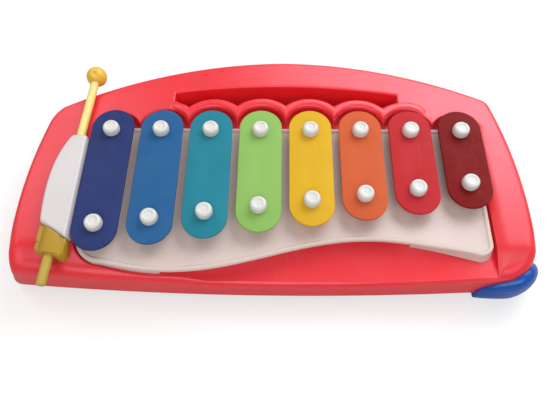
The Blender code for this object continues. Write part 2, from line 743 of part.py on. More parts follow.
def make_tray(home, look):
    """The white sound tray: lips at both ends, a sound slot between them, and a post under each peg."""
    floor = APRON_TOP + TOUCH_GAP
    tray = prism("sound_tray", tray_outline(), floor, TRAY_TOP, home, look)
    step = tray.modifiers.new("edge", "BEVEL")
    step.width = TRAY_DRAFT
    step.segments = 2
    step.limit_method = "ANGLE"
    step.angle_limit = math.radians(60)
    settle(tray)
    field = prism("field", tray_outline(TRAY_RIM), TRAY_TOP - TRAY_FIELD_DROP, TRAY_TOP + OVERRUN, CUTTERS)
    hollow = prism("hollow", tray_outline(WALL), floor - OVERRUN, TRAY_TOP - TRAY_FIELD_DROP - WALL, CUTTERS)
    spots = [spot for i in range(BAR_COUNT) for spot in peg_spots(i)]
    posts = many("posts", spots, POST_R, SHANK_TIP - WALL, POST_TOP)
    bores = many("bores", spots, SHANK_R + SHANK_CLEAR, SHANK_TIP - TOUCH_GAP, POST_TOP + OVERRUN)
    under = TRAY_TOP - TRAY_FIELD_DROP - WALL
    bosses = many("screw_bosses", tray_screw_spots(), BOSS_R, BASIN_FLOOR + TOUCH_GAP, under + WALL / 2)
    pilots = many("pilots", tray_screw_spots(), SCREW_R + TOUCH_GAP, BASIN_FLOOR - OVERRUN, under)
    slot_low = (LIP_LEFT_END, BODY_FRONT - OVERRUN, floor - OVERRUN)
    slot_high = (LIP_RIGHT_START, TRAY_WAVE_MID + TRAY_WAVE + WALL * 3, APRON_TOP + SOUND_SLOT)
    sound_slot = box("sound_slot", slot_low, slot_high, CUTTERS)
    cut(tray, field, hollow)
    join(tray, posts, bosses)
    cut(tray, bores, pilots, sound_slot)
    return finish(settle(tray), 40)


def many(name, spots, radius, low, high, steps=SMALL_STEPS):
    """One mesh of equal upright cylinders."""
    points, faces = [], []
    for spot in spots:
        first = len(points)
        ring = circle(spot, radius, steps)
        points += [(p.x, p.y, low) for p in ring] + [(p.x, p.y, high) for p in ring]
        faces += [tuple(range(first, first + steps)), tuple(range(first + steps, first + 2 * steps))]
        for i in range(steps):
            after = (i + 1) % steps
            faces.append((first + i, first + after, first + steps + after, first + steps + i))
    return to_object(name, points, faces, CUTTERS)


def make_bar(index, home, look):
    """A painted metal bar with round ends and two holes, its origin on its own middle."""
    length = bar_length(index)
    radius = BAR_WIDTH / 2
    reach = length / 2 - radius
    outline = arc((0, reach), radius, 0, math.pi, ROUND_STEPS // 2)
    outline += arc((0, -reach), radius, math.pi, math.tau, ROUND_STEPS // 2)
    bar = prism(f"bar_{index + 1}", outline, 0, BAR_THICK, home, look)
    bar.location = (bar_x(index), ROW_REAR - length / 2, BAR_TOP - BAR_THICK)
    spots = peg_spots(index)
    holes = many(f"holes_{index}", spots, HOLE_R, BAR_TOP - BAR_THICK - OVERRUN, BAR_TOP + OVERRUN)
    cut(bar, holes)
    return finish(settle(bar), 40)


def make_peg(name, spot, home, look):
    """A white push-in peg: round shank and a domed head with a dimple."""
    under = BAR_TOP + TOUCH_GAP
    tip = SHANK_R * TIP_SHARE
    profile = [(0, SHANK_TIP), (tip, SHANK_TIP), (SHANK_R, SHANK_TIP + SHANK_R - tip), (SHANK_R, under)]
    profile += [(HEAD_R * out, under + HEAD_HEIGHT * up) for out, up in HEAD_SHARES]
    profile += [(DIMPLE_R, under + HEAD_HEIGHT), (DIMPLE_R * TIP_SHARE, under + HEAD_HEIGHT - DIMPLE_DEPTH)]
    profile += [(0, under + HEAD_HEIGHT - DIMPLE_DEPTH)]
    peg = revolve(name, [(r, z - under) for r, z in profile], SMALL_STEPS, home, look, (*spot, under))
    return finish(peg, 50)


def make_grommet(name, spot, home, look):
    """A soft grommet: a washer under the bar and a neck up through the hole."""
    low = BAR_TOP - BAR_THICK - TOUCH_GAP - GROMMET_THICK
    inner = SHANK_R + SHANK_CLEAR
    neck = HOLE_R - SHANK_CLEAR
    top = low + GROMMET_THICK
    profile = [(inner, low), (GROMMET_R, low), (GROMMET_R, top), (neck, top)]
    profile += [(neck, BAR_TOP), (inner, BAR_TOP), (inner, low)]
    made = revolve(name, [(r, z - low) for r, z in profile], SMALL_STEPS, home, look, (*spot, low))
    return finish(made, 40)


def along_mallet(name, profile, steps, home, look):
    """Turns (radius, distance from the tail) pairs about the mallet's axis."""
    made = revolve(name, profile, steps, home, look)
    way = mallet_way()
    turn = Vector((0, 0, 1)).rotation_difference(Vector((way.x, way.y, 0)))
    made.data.transform(Matrix.Rotation(turn.angle, 4, turn.axis))
    made.location = (MALLET_TAIL.x, MALLET_TAIL.y, MALLET_AXIS_Z)
    return made


def make_mallet(home, look_shaft, look_ball):
    """A straight round shaft pressed into a ball."""
    length = (MALLET_BALL - MALLET_TAIL).length
    end = length - BALL_R + BALL_SOCKET
    taper = SHAFT_R * SHAFT_TAPER_SHARE
    profile = [(0, 0), (SHAFT_R - taper, 0), (SHAFT_R, taper * 2), (SHAFT_R, length - BALL_SOCKET)]
    profile += [(SHAFT_R, end - taper), (SHAFT_R - taper, end), (0, end)]
    shaft = finish(along_mallet("mallet_shaft", profile, SMALL_STEPS + 4, home, look_shaft), 40)
    socket = SHAFT_R + TOUCH_GAP
    mouth = math.asin(socket / BALL_R)
    profile = [(0, end + TOUCH_GAP), (socket, end + TOUCH_GAP)]
    rings = 10
    for i in range(rings + 1):
        angle = mouth + (math.pi - mouth) * i / rings
        radius = BALL_R * math.sin(angle) if i < rings else 0
        profile.append((radius, length - BALL_R * math.cos(angle)))
    ball = finish(along_mallet("mallet_head", profile, SMALL_STEPS + 6, home, look_ball), 40)
    return shaft, ball


def holder_channel():
    """The way for the shaft: a bore opened downwards, so that the piece sits over the shaft."""
    radius = SHAFT_R + CHANNEL_CLEAR
    points = arc((0, 0), radius, 0, math.pi, ROUND_STEPS // 2)
    depth = MALLET_AXIS_Z - APRON_TOP
    outline = points + [Vector((-radius, -depth)), Vector((radius, -depth))]
    length = (MALLET_BALL - MALLET_TAIL).length
    way = mallet_way()
    side = Vector((way.y, -way.x))
    spots = []
    for distance in (0, length):
        here = MALLET_TAIL + way * distance
        for p in outline:
            spots.append((here.x + side.x * p.x, here.y + side.y * p.x, MALLET_AXIS_Z + p.y))
    count = len(outline)
    faces = [tuple(range(count)), tuple(range(count, 2 * count))]
    for i in range(count):
        after = (i + 1) % count
        faces.append((i, after, count + after, count + i))
    return to_object("channel_cutter", spots, faces, CUTTERS)


def holder_screw_spots():
    """Two screws hold the cover, to the left of the shaft."""
    rows = [COVER_REAR + (COVER_FRONT_LEFT - COVER_REAR) * share for share in HOLDER_SCREW_SHARES]
    return [(mallet_point(y).x - SCREW_ASIDE, y) for y in rows]


def make_cover(home, look, channel, seat):
    """The white cover over the shaft: straight beside the bars, bowed outside and narrow at the rear."""
    width = COVER_RIGHT - COVER_LEFT
    steps = ROUND_STEPS // 2
    outline = [Vector((COVER_RIGHT, COVER_FRONT_RIGHT)), Vector((COVER_RIGHT, COVER_REAR))]
    for i in range(steps + 1):
        share = i / steps
        y = COVER_REAR + (COVER_FRONT_LEFT - COVER_REAR) * share
        bow = width * (COVER_BOW_SHARE * (1 - share) ** 3.6 + COVER_TUCK_SHARE * share ** 4)
        outline.append(Vector((COVER_LEFT + bow, y)))
    cover = prism("holder_cover", outline, APRON_TOP, HOLDER_TOP, home, look)
    round_edges(cover, COVER_ROUND)
    cut(cover, channel, seat)
    tip = DECK_TOP - WALL + HOLDER_SCREW
    for spot in holder_screw_spots():
        cut(cover, prism("cover_pilot", circle(spot, SCREW_R + TOUCH_GAP), 0, tip, CUTTERS))
    return finish(settle(cover), 40)


def make_block(home, look, channel, seat):
    """The yellow end piece: a broad hump over the shaft between lower shoulders, with a recess beside it."""
    tuck = (COVER_RIGHT - COVER_LEFT) * COVER_TUCK_SHARE
    left, right = COVER_LEFT + tuck, COVER_RIGHT
    outline = [(left - BLOCK_FLARE, COVER_FRONT_LEFT), (left - BLOCK_FLARE, BLOCK_FRONT_LEFT + BLOCK_CORNER)]
    outline += [(left - BLOCK_FLARE + BLOCK_CORNER, BLOCK_FRONT_LEFT)]
    outline += [(right - BLOCK_CORNER - BLOCK_FLARE, BLOCK_FRONT_RIGHT)]
    outline += [(right - BLOCK_FLARE, BLOCK_FRONT_RIGHT + BLOCK_CORNER), (right, COVER_FRONT_RIGHT)]
    block = prism("holder_block", outline, BODY_FLOOR, BLOCK_SHOULDER, home, look)
    round_edges(block, BLOCK_ROUND)
    radius = HOLDER_TOP - MALLET_AXIS_Z
    way = mallet_way()
    start = mallet_point(BLOCK_FRONT_LEFT - HUMP_LEAD)
    length = (mallet_point(COVER_FRONT_LEFT) - start).length
    hump = revolve("hump", [(0, 0), (radius, 0), (radius, length), (0, length)], ROUND_STEPS, CUTTERS, None)
    swell = (radius + HUMP_WIDE) / radius
    hump.data.transform(Matrix.Diagonal((swell, 1, 1, 1)))
    turn = Vector((0, 0, 1)).rotation_difference(Vector((way.x, way.y, 0)))
    hump.data.transform(Matrix.Rotation(turn.angle, 4, turn.axis))
    hump.location = (start.x, start.y, MALLET_AXIS_Z)
    join(block, hump)
    aside = start.x - radius - HUMP_WIDE
    low = (aside - RECESS_WIDTH, BLOCK_FRONT_LEFT + BLOCK_CORNER, BLOCK_SHOULDER - RECESS_DEPTH)
    high = (aside, BLOCK_FRONT_LEFT + BLOCK_CORNER + RECESS_LENGTH, BLOCK_SHOULDER + OVERRUN)
    trim = prism("block_trim", trim_line(TOUCH_GAP), 0, HOLDER_TOP + OVERRUN, CUTTERS)
    cut(block, trim, channel, seat, box("block_recess", low, high, CUTTERS))
    return finish(settle(block), 40)


def trim_line(gap):
    """Everything behind the slanted joint between the cover and the block."""
    tuck = (COVER_RIGHT - COVER_LEFT) * COVER_TUCK_SHARE
    start = Vector((COVER_LEFT + tuck, COVER_FRONT_LEFT - gap))
    end = Vector((COVER_RIGHT, COVER_FRONT_RIGHT - gap))
    way = (end - start).normalized() * OVERRUN * 3
    start -= way
    end += way
    return [start, end, Vector((end.x, COVER_REAR)), Vector((start.x, COVER_REAR))]


def round_edges(obj, width):
    """Rounds the top edges and the upright corners of a piece, and makes that its mesh."""
    step = obj.modifiers.new("edge", "BEVEL")
    step.width = width
    step.segments = 3
    step.limit_method = "ANGLE"
    step.angle_limit = math.radians(60)
    return settle(obj)


def make_pad(name, spot, home, look):
    """A round foot pad with a push-in stem."""
    top = BODY_FLOOR - TOUCH_GAP
    inner, height = PAD_ROUND_SHARES
    profile = [(0, 0), (PAD_R * inner, 0), (PAD_R, top * height), (PAD_R, top), (PAD_STEM_R, top)]
    straight, tip = STEM_ROUND_SHARES
    profile += [(PAD_STEM_R, top + PAD_STEM * straight), (PAD_STEM_R * tip, top + PAD_STEM), (0, top + PAD_STEM)]
    return finish(revolve(name, profile, SMALL_STEPS + 4, home, look, (*spot, 0)), 40)


def bumper_section(share):
    """(reach out, height) pairs of the corner foot, from its front end at 0 to its rear end at 1."""
    first, spread = BUMPER_SWELL_SHARES
    swell = math.sin(math.pi * (first + share * spread)) ** 0.4
    rise = BUMPER_HEIGHT * swell
    reach = FOOT_REACH * swell
    section = [(-BUMPER_REACH_IN, 0)] + [(reach * out, rise * up) for out, up in BUMPER_SHARES]
    return section + [(-BUMPER_REACH_IN * back, rise * up) for back, up in BUMPER_BACK_SHARES]


def make_bumper(home, look, seat):
    """The blue corner foot: wraps the front right corner and stands proud of the skirt."""
    front_corner = SIDE_STEPS + CORNER_STEPS + LONG_STEPS
    rim = body_rim()
    way_in = sum((rim[front_corner + k][0] for k in (0, 1)), Vector((0, 0))) / 2
    first = max(k for k in range(front_corner) if rim[k][0].x < way_in.x - BUMPER_LEAD)
    last = front_corner + CORNER_STEPS - 1
    stations = list(range(first, last + 1))
    points = []
    for k in stations:
        share = (k - first) / (last - first)
        spot, way = rim[k]
        for reach, height in bumper_section(share):
            place = spot - way * reach
            points.append((place.x, place.y, height))
    width = len(bumper_section(0))
    faces = [tuple(range(width)), tuple(range((len(stations) - 1) * width, len(stations) * width))]
    for k in range(len(stations) - 1):
        for s in range(width):
            after = (s + 1) % width
            faces.append((k * width + s, k * width + after, (k + 1) * width + after, (k + 1) * width + s))
    foot = to_object("foot_front_right", points, faces, home, look)
    return finish(settle(cut(foot, seat)), 50)


def make_screw(name, spot, head_z, length, home, look):
    """A pan-head screw that goes in from below."""
    slot, deep = SCREW_SLOT_SHARES
    rim, edge = SCREW_ROUND_SHARES
    profile = [(0, SCREW_HEAD * deep), (SCREW_HEAD_R * slot, SCREW_HEAD * deep), (SCREW_HEAD_R * slot, 0)]
    profile += [(SCREW_HEAD_R * rim, 0), (SCREW_HEAD_R, SCREW_HEAD * edge), (SCREW_HEAD_R, SCREW_HEAD)]
    profile += [(SCREW_R, SCREW_HEAD), (SCREW_R, length - SCREW_R), (0, length)]
    return finish(revolve(name, profile, SMALL_STEPS, home, look, (*spot, head_z)), 40)


def centre_model(home):
    """Moves the whole model in plan, so that the origin is under the middle of its length and depth."""
    bpy.context.view_layer.update()
    spots = [obj.matrix_world @ v.co for obj in home.objects for v in obj.data.vertices]
    middle_x = (min(p.x for p in spots) + max(p.x for p in spots)) / 2
    middle_y = (min(p.y for p in spots) + max(p.y for p in spots)) / 2
    for obj in home.objects:
        obj.location -= Vector((middle_x, middle_y, 0))
    print(f"plan moved by {-middle_x / MM:.3f}, {-middle_y / MM:.3f} mm")


clear_scene()
CUTTERS = new_collection("cutters", hidden=True)
MODEL = new_collection("toy_xylophone")

RED = material("body_red", (0.78, 0.055, 0.07), 0.28)
WHITE = material("tray_white", (0.80, 0.72, 0.66), 0.38)
PEG_WHITE = material("peg_white", (0.86, 0.86, 0.84), 0.3)
YELLOW = material("mallet_yellow", (0.85, 0.62, 0.12), 0.33)
COVER_WHITE = material("cover_white", (0.85, 0.83, 0.81), 0.32)
BLUE = material("foot_blue", (0.02, 0.09, 0.38), 0.3)
RUBBER = material("grommet_rubber", (0.05, 0.05, 0.05), 0.8)
STEEL = material("screw_steel", (0.55, 0.55, 0.55), 0.35, 1.0)
BAR_COLORS = [
    ("navy", (0.042, 0.060, 0.188)),
    ("blue", (0.038, 0.136, 0.337)),
    ("teal", (0.041, 0.252, 0.337)),
    ("green", (0.314, 0.552, 0.153)),
    ("yellow", (0.812, 0.473, 0.042)),
    ("orange", (0.716, 0.150, 0.061)),
    ("red", (0.604, 0.053, 0.061)),
    ("dark_red", (0.262, 0.023, 0.024)),
]

make_body(MODEL, RED)
make_tray(MODEL, WHITE)
for number, (shade, color) in enumerate(BAR_COLORS):
    make_bar(number, MODEL, material(f"bar_{shade}", color, 0.42, 0.25))
    for place, spot_xy in zip(("rear", "front"), peg_spots(number)):
        make_peg(f"peg_{place}_{number + 1}", spot_xy, MODEL, PEG_WHITE)
        make_grommet(f"grommet_{place}_{number + 1}", spot_xy, MODEL, RUBBER)
make_mallet(MODEL, YELLOW, YELLOW)

CHANNEL = holder_channel()
SEAT = body_solid("seat_cutter", CUTTERS, None, -TOUCH_GAP, BODY_FLOOR - TOUCH_GAP, -TOUCH_GAP)
make_cover(MODEL, COVER_WHITE, CHANNEL, SEAT)
make_block(MODEL, YELLOW, CHANNEL, SEAT)
make_bumper(MODEL, BLUE, SEAT)
for foot, foot_xy in foot_spots().items():
    make_pad(foot, foot_xy, MODEL, BLUE)
tray_head = BASIN_FLOOR - WALL - TOUCH_GAP - SCREW_HEAD
for number, spot_xy in enumerate(tray_screw_spots()):
    make_screw(f"tray_screw_{number + 1}", spot_xy, tray_head, TRAY_SCREW, MODEL, STEEL)
holder_head = DECK_TOP - WALL - TOUCH_GAP - SCREW_HEAD
for number, spot_xy in enumerate(holder_screw_spots()):
    make_screw(f"holder_screw_{number + 1}", spot_xy, holder_head, HOLDER_SCREW, MODEL, STEEL)
centre_model(MODEL)
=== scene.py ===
"""Toy xylophone: a moulded body with a carrying slot, a sound tray, eight painted bars and a stored mallet.

Metres, +Z up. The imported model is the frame. Every piece is drawn in the plan and then moved into the frame.
"""

from __future__ import annotations

import logging
import math
from dataclasses import dataclass, field
from enum import Enum
from typing import Callable, Optional, Sequence

import bmesh
import bpy
from mathutils import Matrix, Vector


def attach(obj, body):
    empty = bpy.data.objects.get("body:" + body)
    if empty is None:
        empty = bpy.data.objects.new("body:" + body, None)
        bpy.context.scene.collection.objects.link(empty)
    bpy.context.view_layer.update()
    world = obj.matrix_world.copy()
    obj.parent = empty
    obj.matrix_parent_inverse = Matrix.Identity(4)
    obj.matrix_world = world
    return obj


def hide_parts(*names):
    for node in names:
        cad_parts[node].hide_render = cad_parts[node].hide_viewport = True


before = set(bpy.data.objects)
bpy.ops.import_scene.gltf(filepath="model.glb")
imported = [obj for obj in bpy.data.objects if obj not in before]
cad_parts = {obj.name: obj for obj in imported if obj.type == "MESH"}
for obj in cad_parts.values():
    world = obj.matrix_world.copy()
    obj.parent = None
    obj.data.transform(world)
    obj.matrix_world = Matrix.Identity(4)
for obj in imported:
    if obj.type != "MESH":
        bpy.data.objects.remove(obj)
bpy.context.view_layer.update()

LOG = logging.getLogger("xylophone")
MM = 0.001
TOY = "xylophone"
MALLET = "mallet"
Points = Sequence[Vector]
Pairs = Sequence[tuple[float, float]]
Color = tuple[float, float, float]
Piece = bpy.types.Object
Look = bpy.types.Material
Socket = bpy.types.NodeSocket


@dataclass(frozen=True)
class Finish:
    """The colour and surface of one moulded or painted material.

    Colours are linear. Roughness is the clean surface's, and the shares say how much of each effect shows.
    """

    name: str
    color: Color
    deep: Color
    rough: float
    rough_spread: float = 0.08
    grain: float = 0.3
    grain_scale: float = 900.0
    bump: float = 0.0002
    mottle: float = 0.35
    mottle_scale: float = 18.0
    scuffs: float = 0.2
    wear: float = 0.35
    wear_color: Color = (0.9, 0.85, 0.82)
    dust: float = 0.12
    metallic: float = 0.0
    ior: float = 1.49
    specular: float = 0.5
    gleam: Color = (1.0, 1.0, 1.0)
    glow: float = 0.0
    glow_reach: Color = (1.0, 0.3, 0.2)
    # The tail colour is painted shade, darkening the piece towards its near end across the given depths.
    tail: Optional[Color] = None
    painted_tail_shade_reach: tuple[float, float] = (-98 * MM, -70 * MM)


class Slot(Enum):
    """The names of the material slots."""

    BODY = "body"
    TRAY = "tray"
    PEG = "peg"
    GROMMET = "grommet"
    MALLET = "mallet"
    COVER = "cover"
    HOLDER = "holder"
    FOOT = "foot"
    SCREW = "screw"


class Paint(Enum):
    """The paints of the bars, from the longest to the shortest, as (slot, lit colour, deep colour)."""

    NAVY = ("bar_navy", (0.028, 0.043, 0.156), (0.021, 0.035, 0.125))
    BLUE = ("bar_blue", (0.025, 0.118, 0.289), (0.020, 0.096, 0.243))
    TEAL = ("bar_teal", (0.021, 0.218, 0.293), (0.018, 0.180, 0.243))
    GREEN = ("bar_green", (0.259, 0.468, 0.118), (0.212, 0.406, 0.091))
    YELLOW = ("bar_yellow", (0.680, 0.398, 0.023), (0.610, 0.336, 0.016))
    ORANGE = ("bar_orange", (0.590, 0.113, 0.039), (0.522, 0.090, 0.030))
    RED = ("bar_red", (0.488, 0.026, 0.032), (0.421, 0.020, 0.025))
    DARK_RED = ("bar_dark_red", (0.203, 0.008, 0.009), (0.163, 0.006, 0.007))

    @property
    def slot(self) -> str:
        """The bar's material slot name."""
        return self.value[0]


class Bench:
    """The modelling steps that every piece shares, made with Blender's own operators."""

    @staticmethod
    def clear() -> None:
        """Leaves edit mode and deselects everything."""
        if bpy.context.object and bpy.context.object.mode != "OBJECT":
            bpy.ops.object.mode_set(mode="OBJECT")
        bpy.ops.object.select_all(action="DESELECT")

    @staticmethod
    def pick(piece: Piece) -> None:
        """Makes one piece the selected and active object."""
        Bench.clear()
        piece.select_set(True)
        bpy.context.view_layer.objects.active = piece

    @staticmethod
    def extrude_ring(piece: Piece, ring: Points) -> None:
        """Extrudes the selected ring once and puts it on the next one.

        Args:
            piece: the object in edit mode, with its last ring selected.
            ring: where the new ring goes: as many points, or one point that closes it.
        """
        bpy.ops.mesh.extrude_region_move()
        work = bmesh.from_edit_mesh(piece.data)
        layer = work.verts.layers.int["turn"]
        if len(ring) == 1:
            for vert in work.verts:
                if vert.select:
                    vert.co = ring[0]
            bmesh.update_edit_mesh(piece.data)
            bpy.ops.mesh.merge(type="CENTER")
            return
        for vert in work.verts:
            if vert.select:
                vert.co = ring[vert[layer]]
        bmesh.update_edit_mesh(piece.data)

    @staticmethod
    def loft(name: str, rings: Sequence[Points], closed: bool = False) -> Piece:
        """Extrudes a ring of points through the others, and caps or joins its ends.

        Args:
            name: the piece's name.
            rings: the rings, of one length, where the first or last may be a single point.
            closed: the last ring is joined to the first, so the piece is a ring itself.

        Returns:
            The new object, in object mode, with its faces outwards.
        """
        Bench.clear()
        tip = None
        if len(rings[0]) == 1:
            tip, rings = rings[0][0], rings[1:]
        count = len(rings[0])
        bpy.ops.mesh.primitive_circle_add(vertices=count, radius=1.0, location=(0, 0, 0))
        piece = bpy.context.object
        piece.name = piece.data.name = name
        turn = piece.data.attributes.new("turn", "INT", "POINT")
        for i, vert in enumerate(piece.data.vertices):
            turn.data[i].value = i
            vert.co = rings[0][i]
        Bench.enter()
        for ring in rings[1:]:
            Bench.extrude_ring(piece, ring)
        if closed:
            Bench.select_first(piece, count)
            bpy.ops.mesh.bridge_edge_loops()
        else:
            if len(rings[-1]) > 1:
                bpy.ops.mesh.edge_face_add()
            bpy.ops.mesh.select_all(action="DESELECT")
            Bench.select_first(piece, count)
            if tip is None:
                bpy.ops.mesh.edge_face_add()
            else:
                Bench.extrude_ring(piece, [tip])
        bpy.ops.mesh.select_all(action="SELECT")
        bpy.ops.mesh.remove_doubles(threshold=1e-6)
        Bench.seal(piece)
        return piece

    @staticmethod
    def enter() -> None:
        """Enters edit mode with every vertex of the active piece selected."""
        bpy.ops.object.mode_set(mode="EDIT")
        bpy.ops.mesh.select_mode(type="VERT")
        bpy.ops.mesh.select_all(action="SELECT")

    @staticmethod
    def seal(piece: Piece) -> None:
        """Turns the faces outwards, leaves edit mode and drops the vertices' numbers."""
        bpy.ops.mesh.select_all(action="SELECT")
        bpy.ops.mesh.normals_make_consistent(inside=False)
        bpy.ops.object.mode_set(mode="OBJECT")
        piece.data.attributes.remove(piece.data.attributes["turn"])

    @staticmethod
    def select_first(piece: Piece, count: int) -> None:
        """Selects the first ring too, whatever is selected already."""
        work = bmesh.from_edit_mesh(piece.data)
        work.verts.ensure_lookup_table()
        for i in range(count):
            work.verts[i].select_set(True)
        work.select_flush_mode()
        bmesh.update_edit_mesh(piece.data)

    @staticmethod
    def slab(name: str, outline: Points, low: float, high: float) -> Piece:
        """Extrudes a plan outline between two levels."""
        rings = [[Vector((p.x, p.y, z)) for p in outline] for z in (low, high)]
        return Bench.loft(name, rings)

    @staticmethod
    def turned(name: str, profile: Pairs, steps: int, closed: bool = False) -> Piece:
        """Turns (radius, height) pairs about Z, as on a lathe."""
        rings = []
        for radius, height in profile:
            if radius == 0:
                rings.append([Vector((0, 0, height))])
                continue
            turns = (math.tau * i / steps for i in range(steps))
            rings.append([Vector((radius * math.cos(a), radius * math.sin(a), height)) for a in turns])
        return Bench.loft(name, rings, closed)

    @staticmethod
    def modify(piece: Piece, kind: str, **settings: object) -> None:
        """Adds a modifier with these settings and applies it."""
        Bench.pick(piece)
        step = piece.modifiers.new(kind.lower(), kind)
        for key, value in settings.items():
            setattr(step, key, value)
        bpy.ops.object.modifier_apply(modifier=step.name)

    @staticmethod
    def carve(piece: Piece, *tools: Piece, how: str = "DIFFERENCE") -> Piece:
        """Cuts the tools from the piece, or joins them to it, and throws the tools away."""
        for tool in tools:
            Bench.modify(piece, "BOOLEAN", operation=how, solver="EXACT", object=tool)
            bpy.data.objects.remove(tool)
        return piece

    @staticmethod
    def weld(piece: Piece, name: str, *parts: Piece) -> Piece:
        """Joins separate parts into one object under a name."""
        Bench.pick(piece)
        for part in parts:
            part.select_set(True)
        bpy.ops.object.join()
        piece.name = piece.data.name = name
        return piece

    @staticmethod
    def copy(piece: Piece, name: str) -> Piece:
        """A copy with its own mesh."""
        Bench.pick(piece)
        bpy.ops.object.duplicate(linked=False)
        made = bpy.context.object
        made.name = made.data.name = name
        return made

    @staticmethod
    def place(piece: Piece, at: Vector, turn: Optional[Matrix] = None) -> Piece:
        """Moves a piece and puts its place into its mesh."""
        Bench.pick(piece)
        piece.matrix_world = Matrix.Translation(at) @ (turn or Matrix.Identity(4))
        bpy.ops.object.transform_apply(location=True, rotation=True, scale=True)
        return piece

    @staticmethod
    def soften(piece: Piece, width: float, segments: int = 3, angle: float = 40) -> None:
        """Rounds the sharp edges."""
        Bench.modify(
            piece, "BEVEL", width=width, segments=segments, limit_method="ANGLE",
            angle_limit=math.radians(angle), harden_normals=False, use_clamp_overlap=True,
        )

    @staticmethod
    def finish(piece: Piece, look: Look, body: str, slot: str, node: str, angle: float) -> None:
        """Moves a finished piece from the plan to the frame, smooths it and tells the frame what it is.

        Args:
            piece: the object, drawn in the plan.
            look: its material.
            body: the CAD body that it rides on.
            slot: not used.
            node: the CAD node that it stands for.
            angle: edges sharper than this, in degrees, stay sharp.
        """
        Bench.place(piece, PLAN_SHIFT)
        bpy.ops.object.shade_smooth_by_angle(angle=math.radians(angle))
        piece.data.materials.clear()
        piece.data.materials.append(look)
        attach(piece, body)
        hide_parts(node)
        LOG.info("%s: %d faces", piece.name, len(piece.data.polygons))


def arc(centre: Vector, radius: float, start: float, end: float, steps: int) -> list[Vector]:
    """Points of an arc, both ends included, for angles in radians."""
    turn = (end - start) / steps
    spots = (start + turn * i for i in range(steps + 1))
    return [Vector((centre[0] + radius * math.cos(a), centre[1] + radius * math.sin(a))) for a in spots]


def span(start: Vector, end: Vector, steps: int) -> list[Vector]:
    """Evenly spaced points of a line, both ends included."""
    return [start.lerp(end, i / steps) for i in range(steps + 1)]


def rectangle(left: float, right: float, front: float, rear: float) -> list[Vector]:
    """A rectangle's plan, anticlockwise from its front left corner."""
    return [Vector(corner) for corner in ((left, front), (right, front), (right, rear), (left, rear))]


def rounding(radius: float, steps: int) -> list[tuple[float, float]]:
    """A rounded edge's (inset, drop) pairs, from its foot at (0, radius) to its top at (radius, 0)."""
    turns = (math.pi / 2 * k / steps for k in range(steps + 1))
    return [(radius * (1 - math.cos(a)), radius * (1 - math.sin(a))) for a in turns]


def clamp(value: float) -> float:
    """The value held between 0 and 1."""
    return min(max(value, 0.0), 1.0)


def ease(value: float) -> float:
    """The value held between 0 and 1, with soft ends."""
    share = clamp(value)
    return share * share * (3 - 2 * share)


def meet(first: tuple[Vector, float], second: tuple[Vector, float], above: bool) -> Vector:
    """Where two circles cross, on the side that the flag picks."""
    (a, ra), (b, rb) = first, second
    apart = b - a
    length = apart.length
    along = (ra * ra - rb * rb + length * length) / (2 * length)
    off = math.sqrt(ra * ra - along * along)
    unit = apart / length
    return a + unit * along + Vector((-unit.y, unit.x)) * (off if above else -off)


@dataclass(frozen=True)
class Levels:
    """Heights above the table that several pieces share."""

    floor: float = 8 * MM
    basin: float = 22 * MM
    apron: float = 37 * MM
    tray: float = 45 * MM
    deck: float = 48 * MM
    band: float = 52 * MM
    bar: float = 56 * MM
    crown: float = 1.2 * MM
    wall: float = 2.5 * MM
    gap: float = 0.3 * MM
    past: float = 4 * MM


@dataclass(frozen=True)
class BarRow:
    """Where the bars lie. The rest of the plan starts from them."""

    count: int = 8
    width: float = 40 * MM
    pitch: float = 46.9 * MM
    longest: float = 146 * MM
    step: float = 6 * MM
    thick: float = 2.6 * MM
    middle: float = 6.2 * MM
    rear: float = 54.5 * MM
    front: float = -91.5 * MM
    peg_inset: float = 24 * MM
    screw_inset: float = 46.5 * MM

    @property
    def reach(self) -> float:
        """From the row's middle to the middle of its last bar."""
        return self.pitch * (self.count - 1) / 2

    def x(self, index: int) -> float:
        """The middle of a bar."""
        return self.middle - self.reach + index * self.pitch

    def length(self, index: int) -> float:
        """The length of a bar."""
        return self.longest - index * self.step

    def pegs(self, index: int) -> list[Vector]:
        """The rear and the front peg of a bar."""
        front = self.rear - self.length(index) + self.peg_inset
        return [Vector((self.x(index), self.rear - self.peg_inset)), Vector((self.x(index), front))]

    def all_pegs(self) -> list[Vector]:
        """Every peg of the row."""
        return [spot for index in range(self.count) for spot in self.pegs(index)]

    def tray_screws(self) -> list[Vector]:
        """The four screws under the tray, between the outer pairs of bars."""
        columns = ((self.x(0) + self.x(1)) / 2, (self.x(6) + self.x(7)) / 2)
        rows = (self.front + self.screw_inset, self.rear - self.screw_inset)
        return [Vector((x, y)) for x in columns for y in rows]


PLAN_SHIFT = Vector((6.498 * MM, -1.995 * MM, 0))
LEVELS = Levels()
ROW = BarRow()


@dataclass
class MalletLine:
    """The axis that the stored mallet lies on."""

    tail: Vector = field(default_factory=lambda: Vector((-193.6 * MM, -121.8 * MM)))
    ball: Vector = field(default_factory=lambda: Vector((-185 * MM, 97.5 * MM)))
    height: float = 53.5 * MM
    shaft_r: float = 4 * MM

    @property
    def way(self) -> Vector:
        """Its direction in the plan, from the tail to the ball."""
        return (self.ball - self.tail).normalized()

    @property
    def length(self) -> float:
        """From the tail to the middle of the ball."""
        return (self.ball - self.tail).length

    @property
    def turn(self) -> Matrix:
        """The turn from upright to this axis."""
        return Vector((0, 0, 1)).rotation_difference(self.way.to_3d()).to_matrix().to_4x4()

    def point(self, y: float) -> Vector:
        """The point of the axis at this depth."""
        return self.tail + self.way * ((y - self.tail.y) / self.way.y)


LINE = MalletLine()


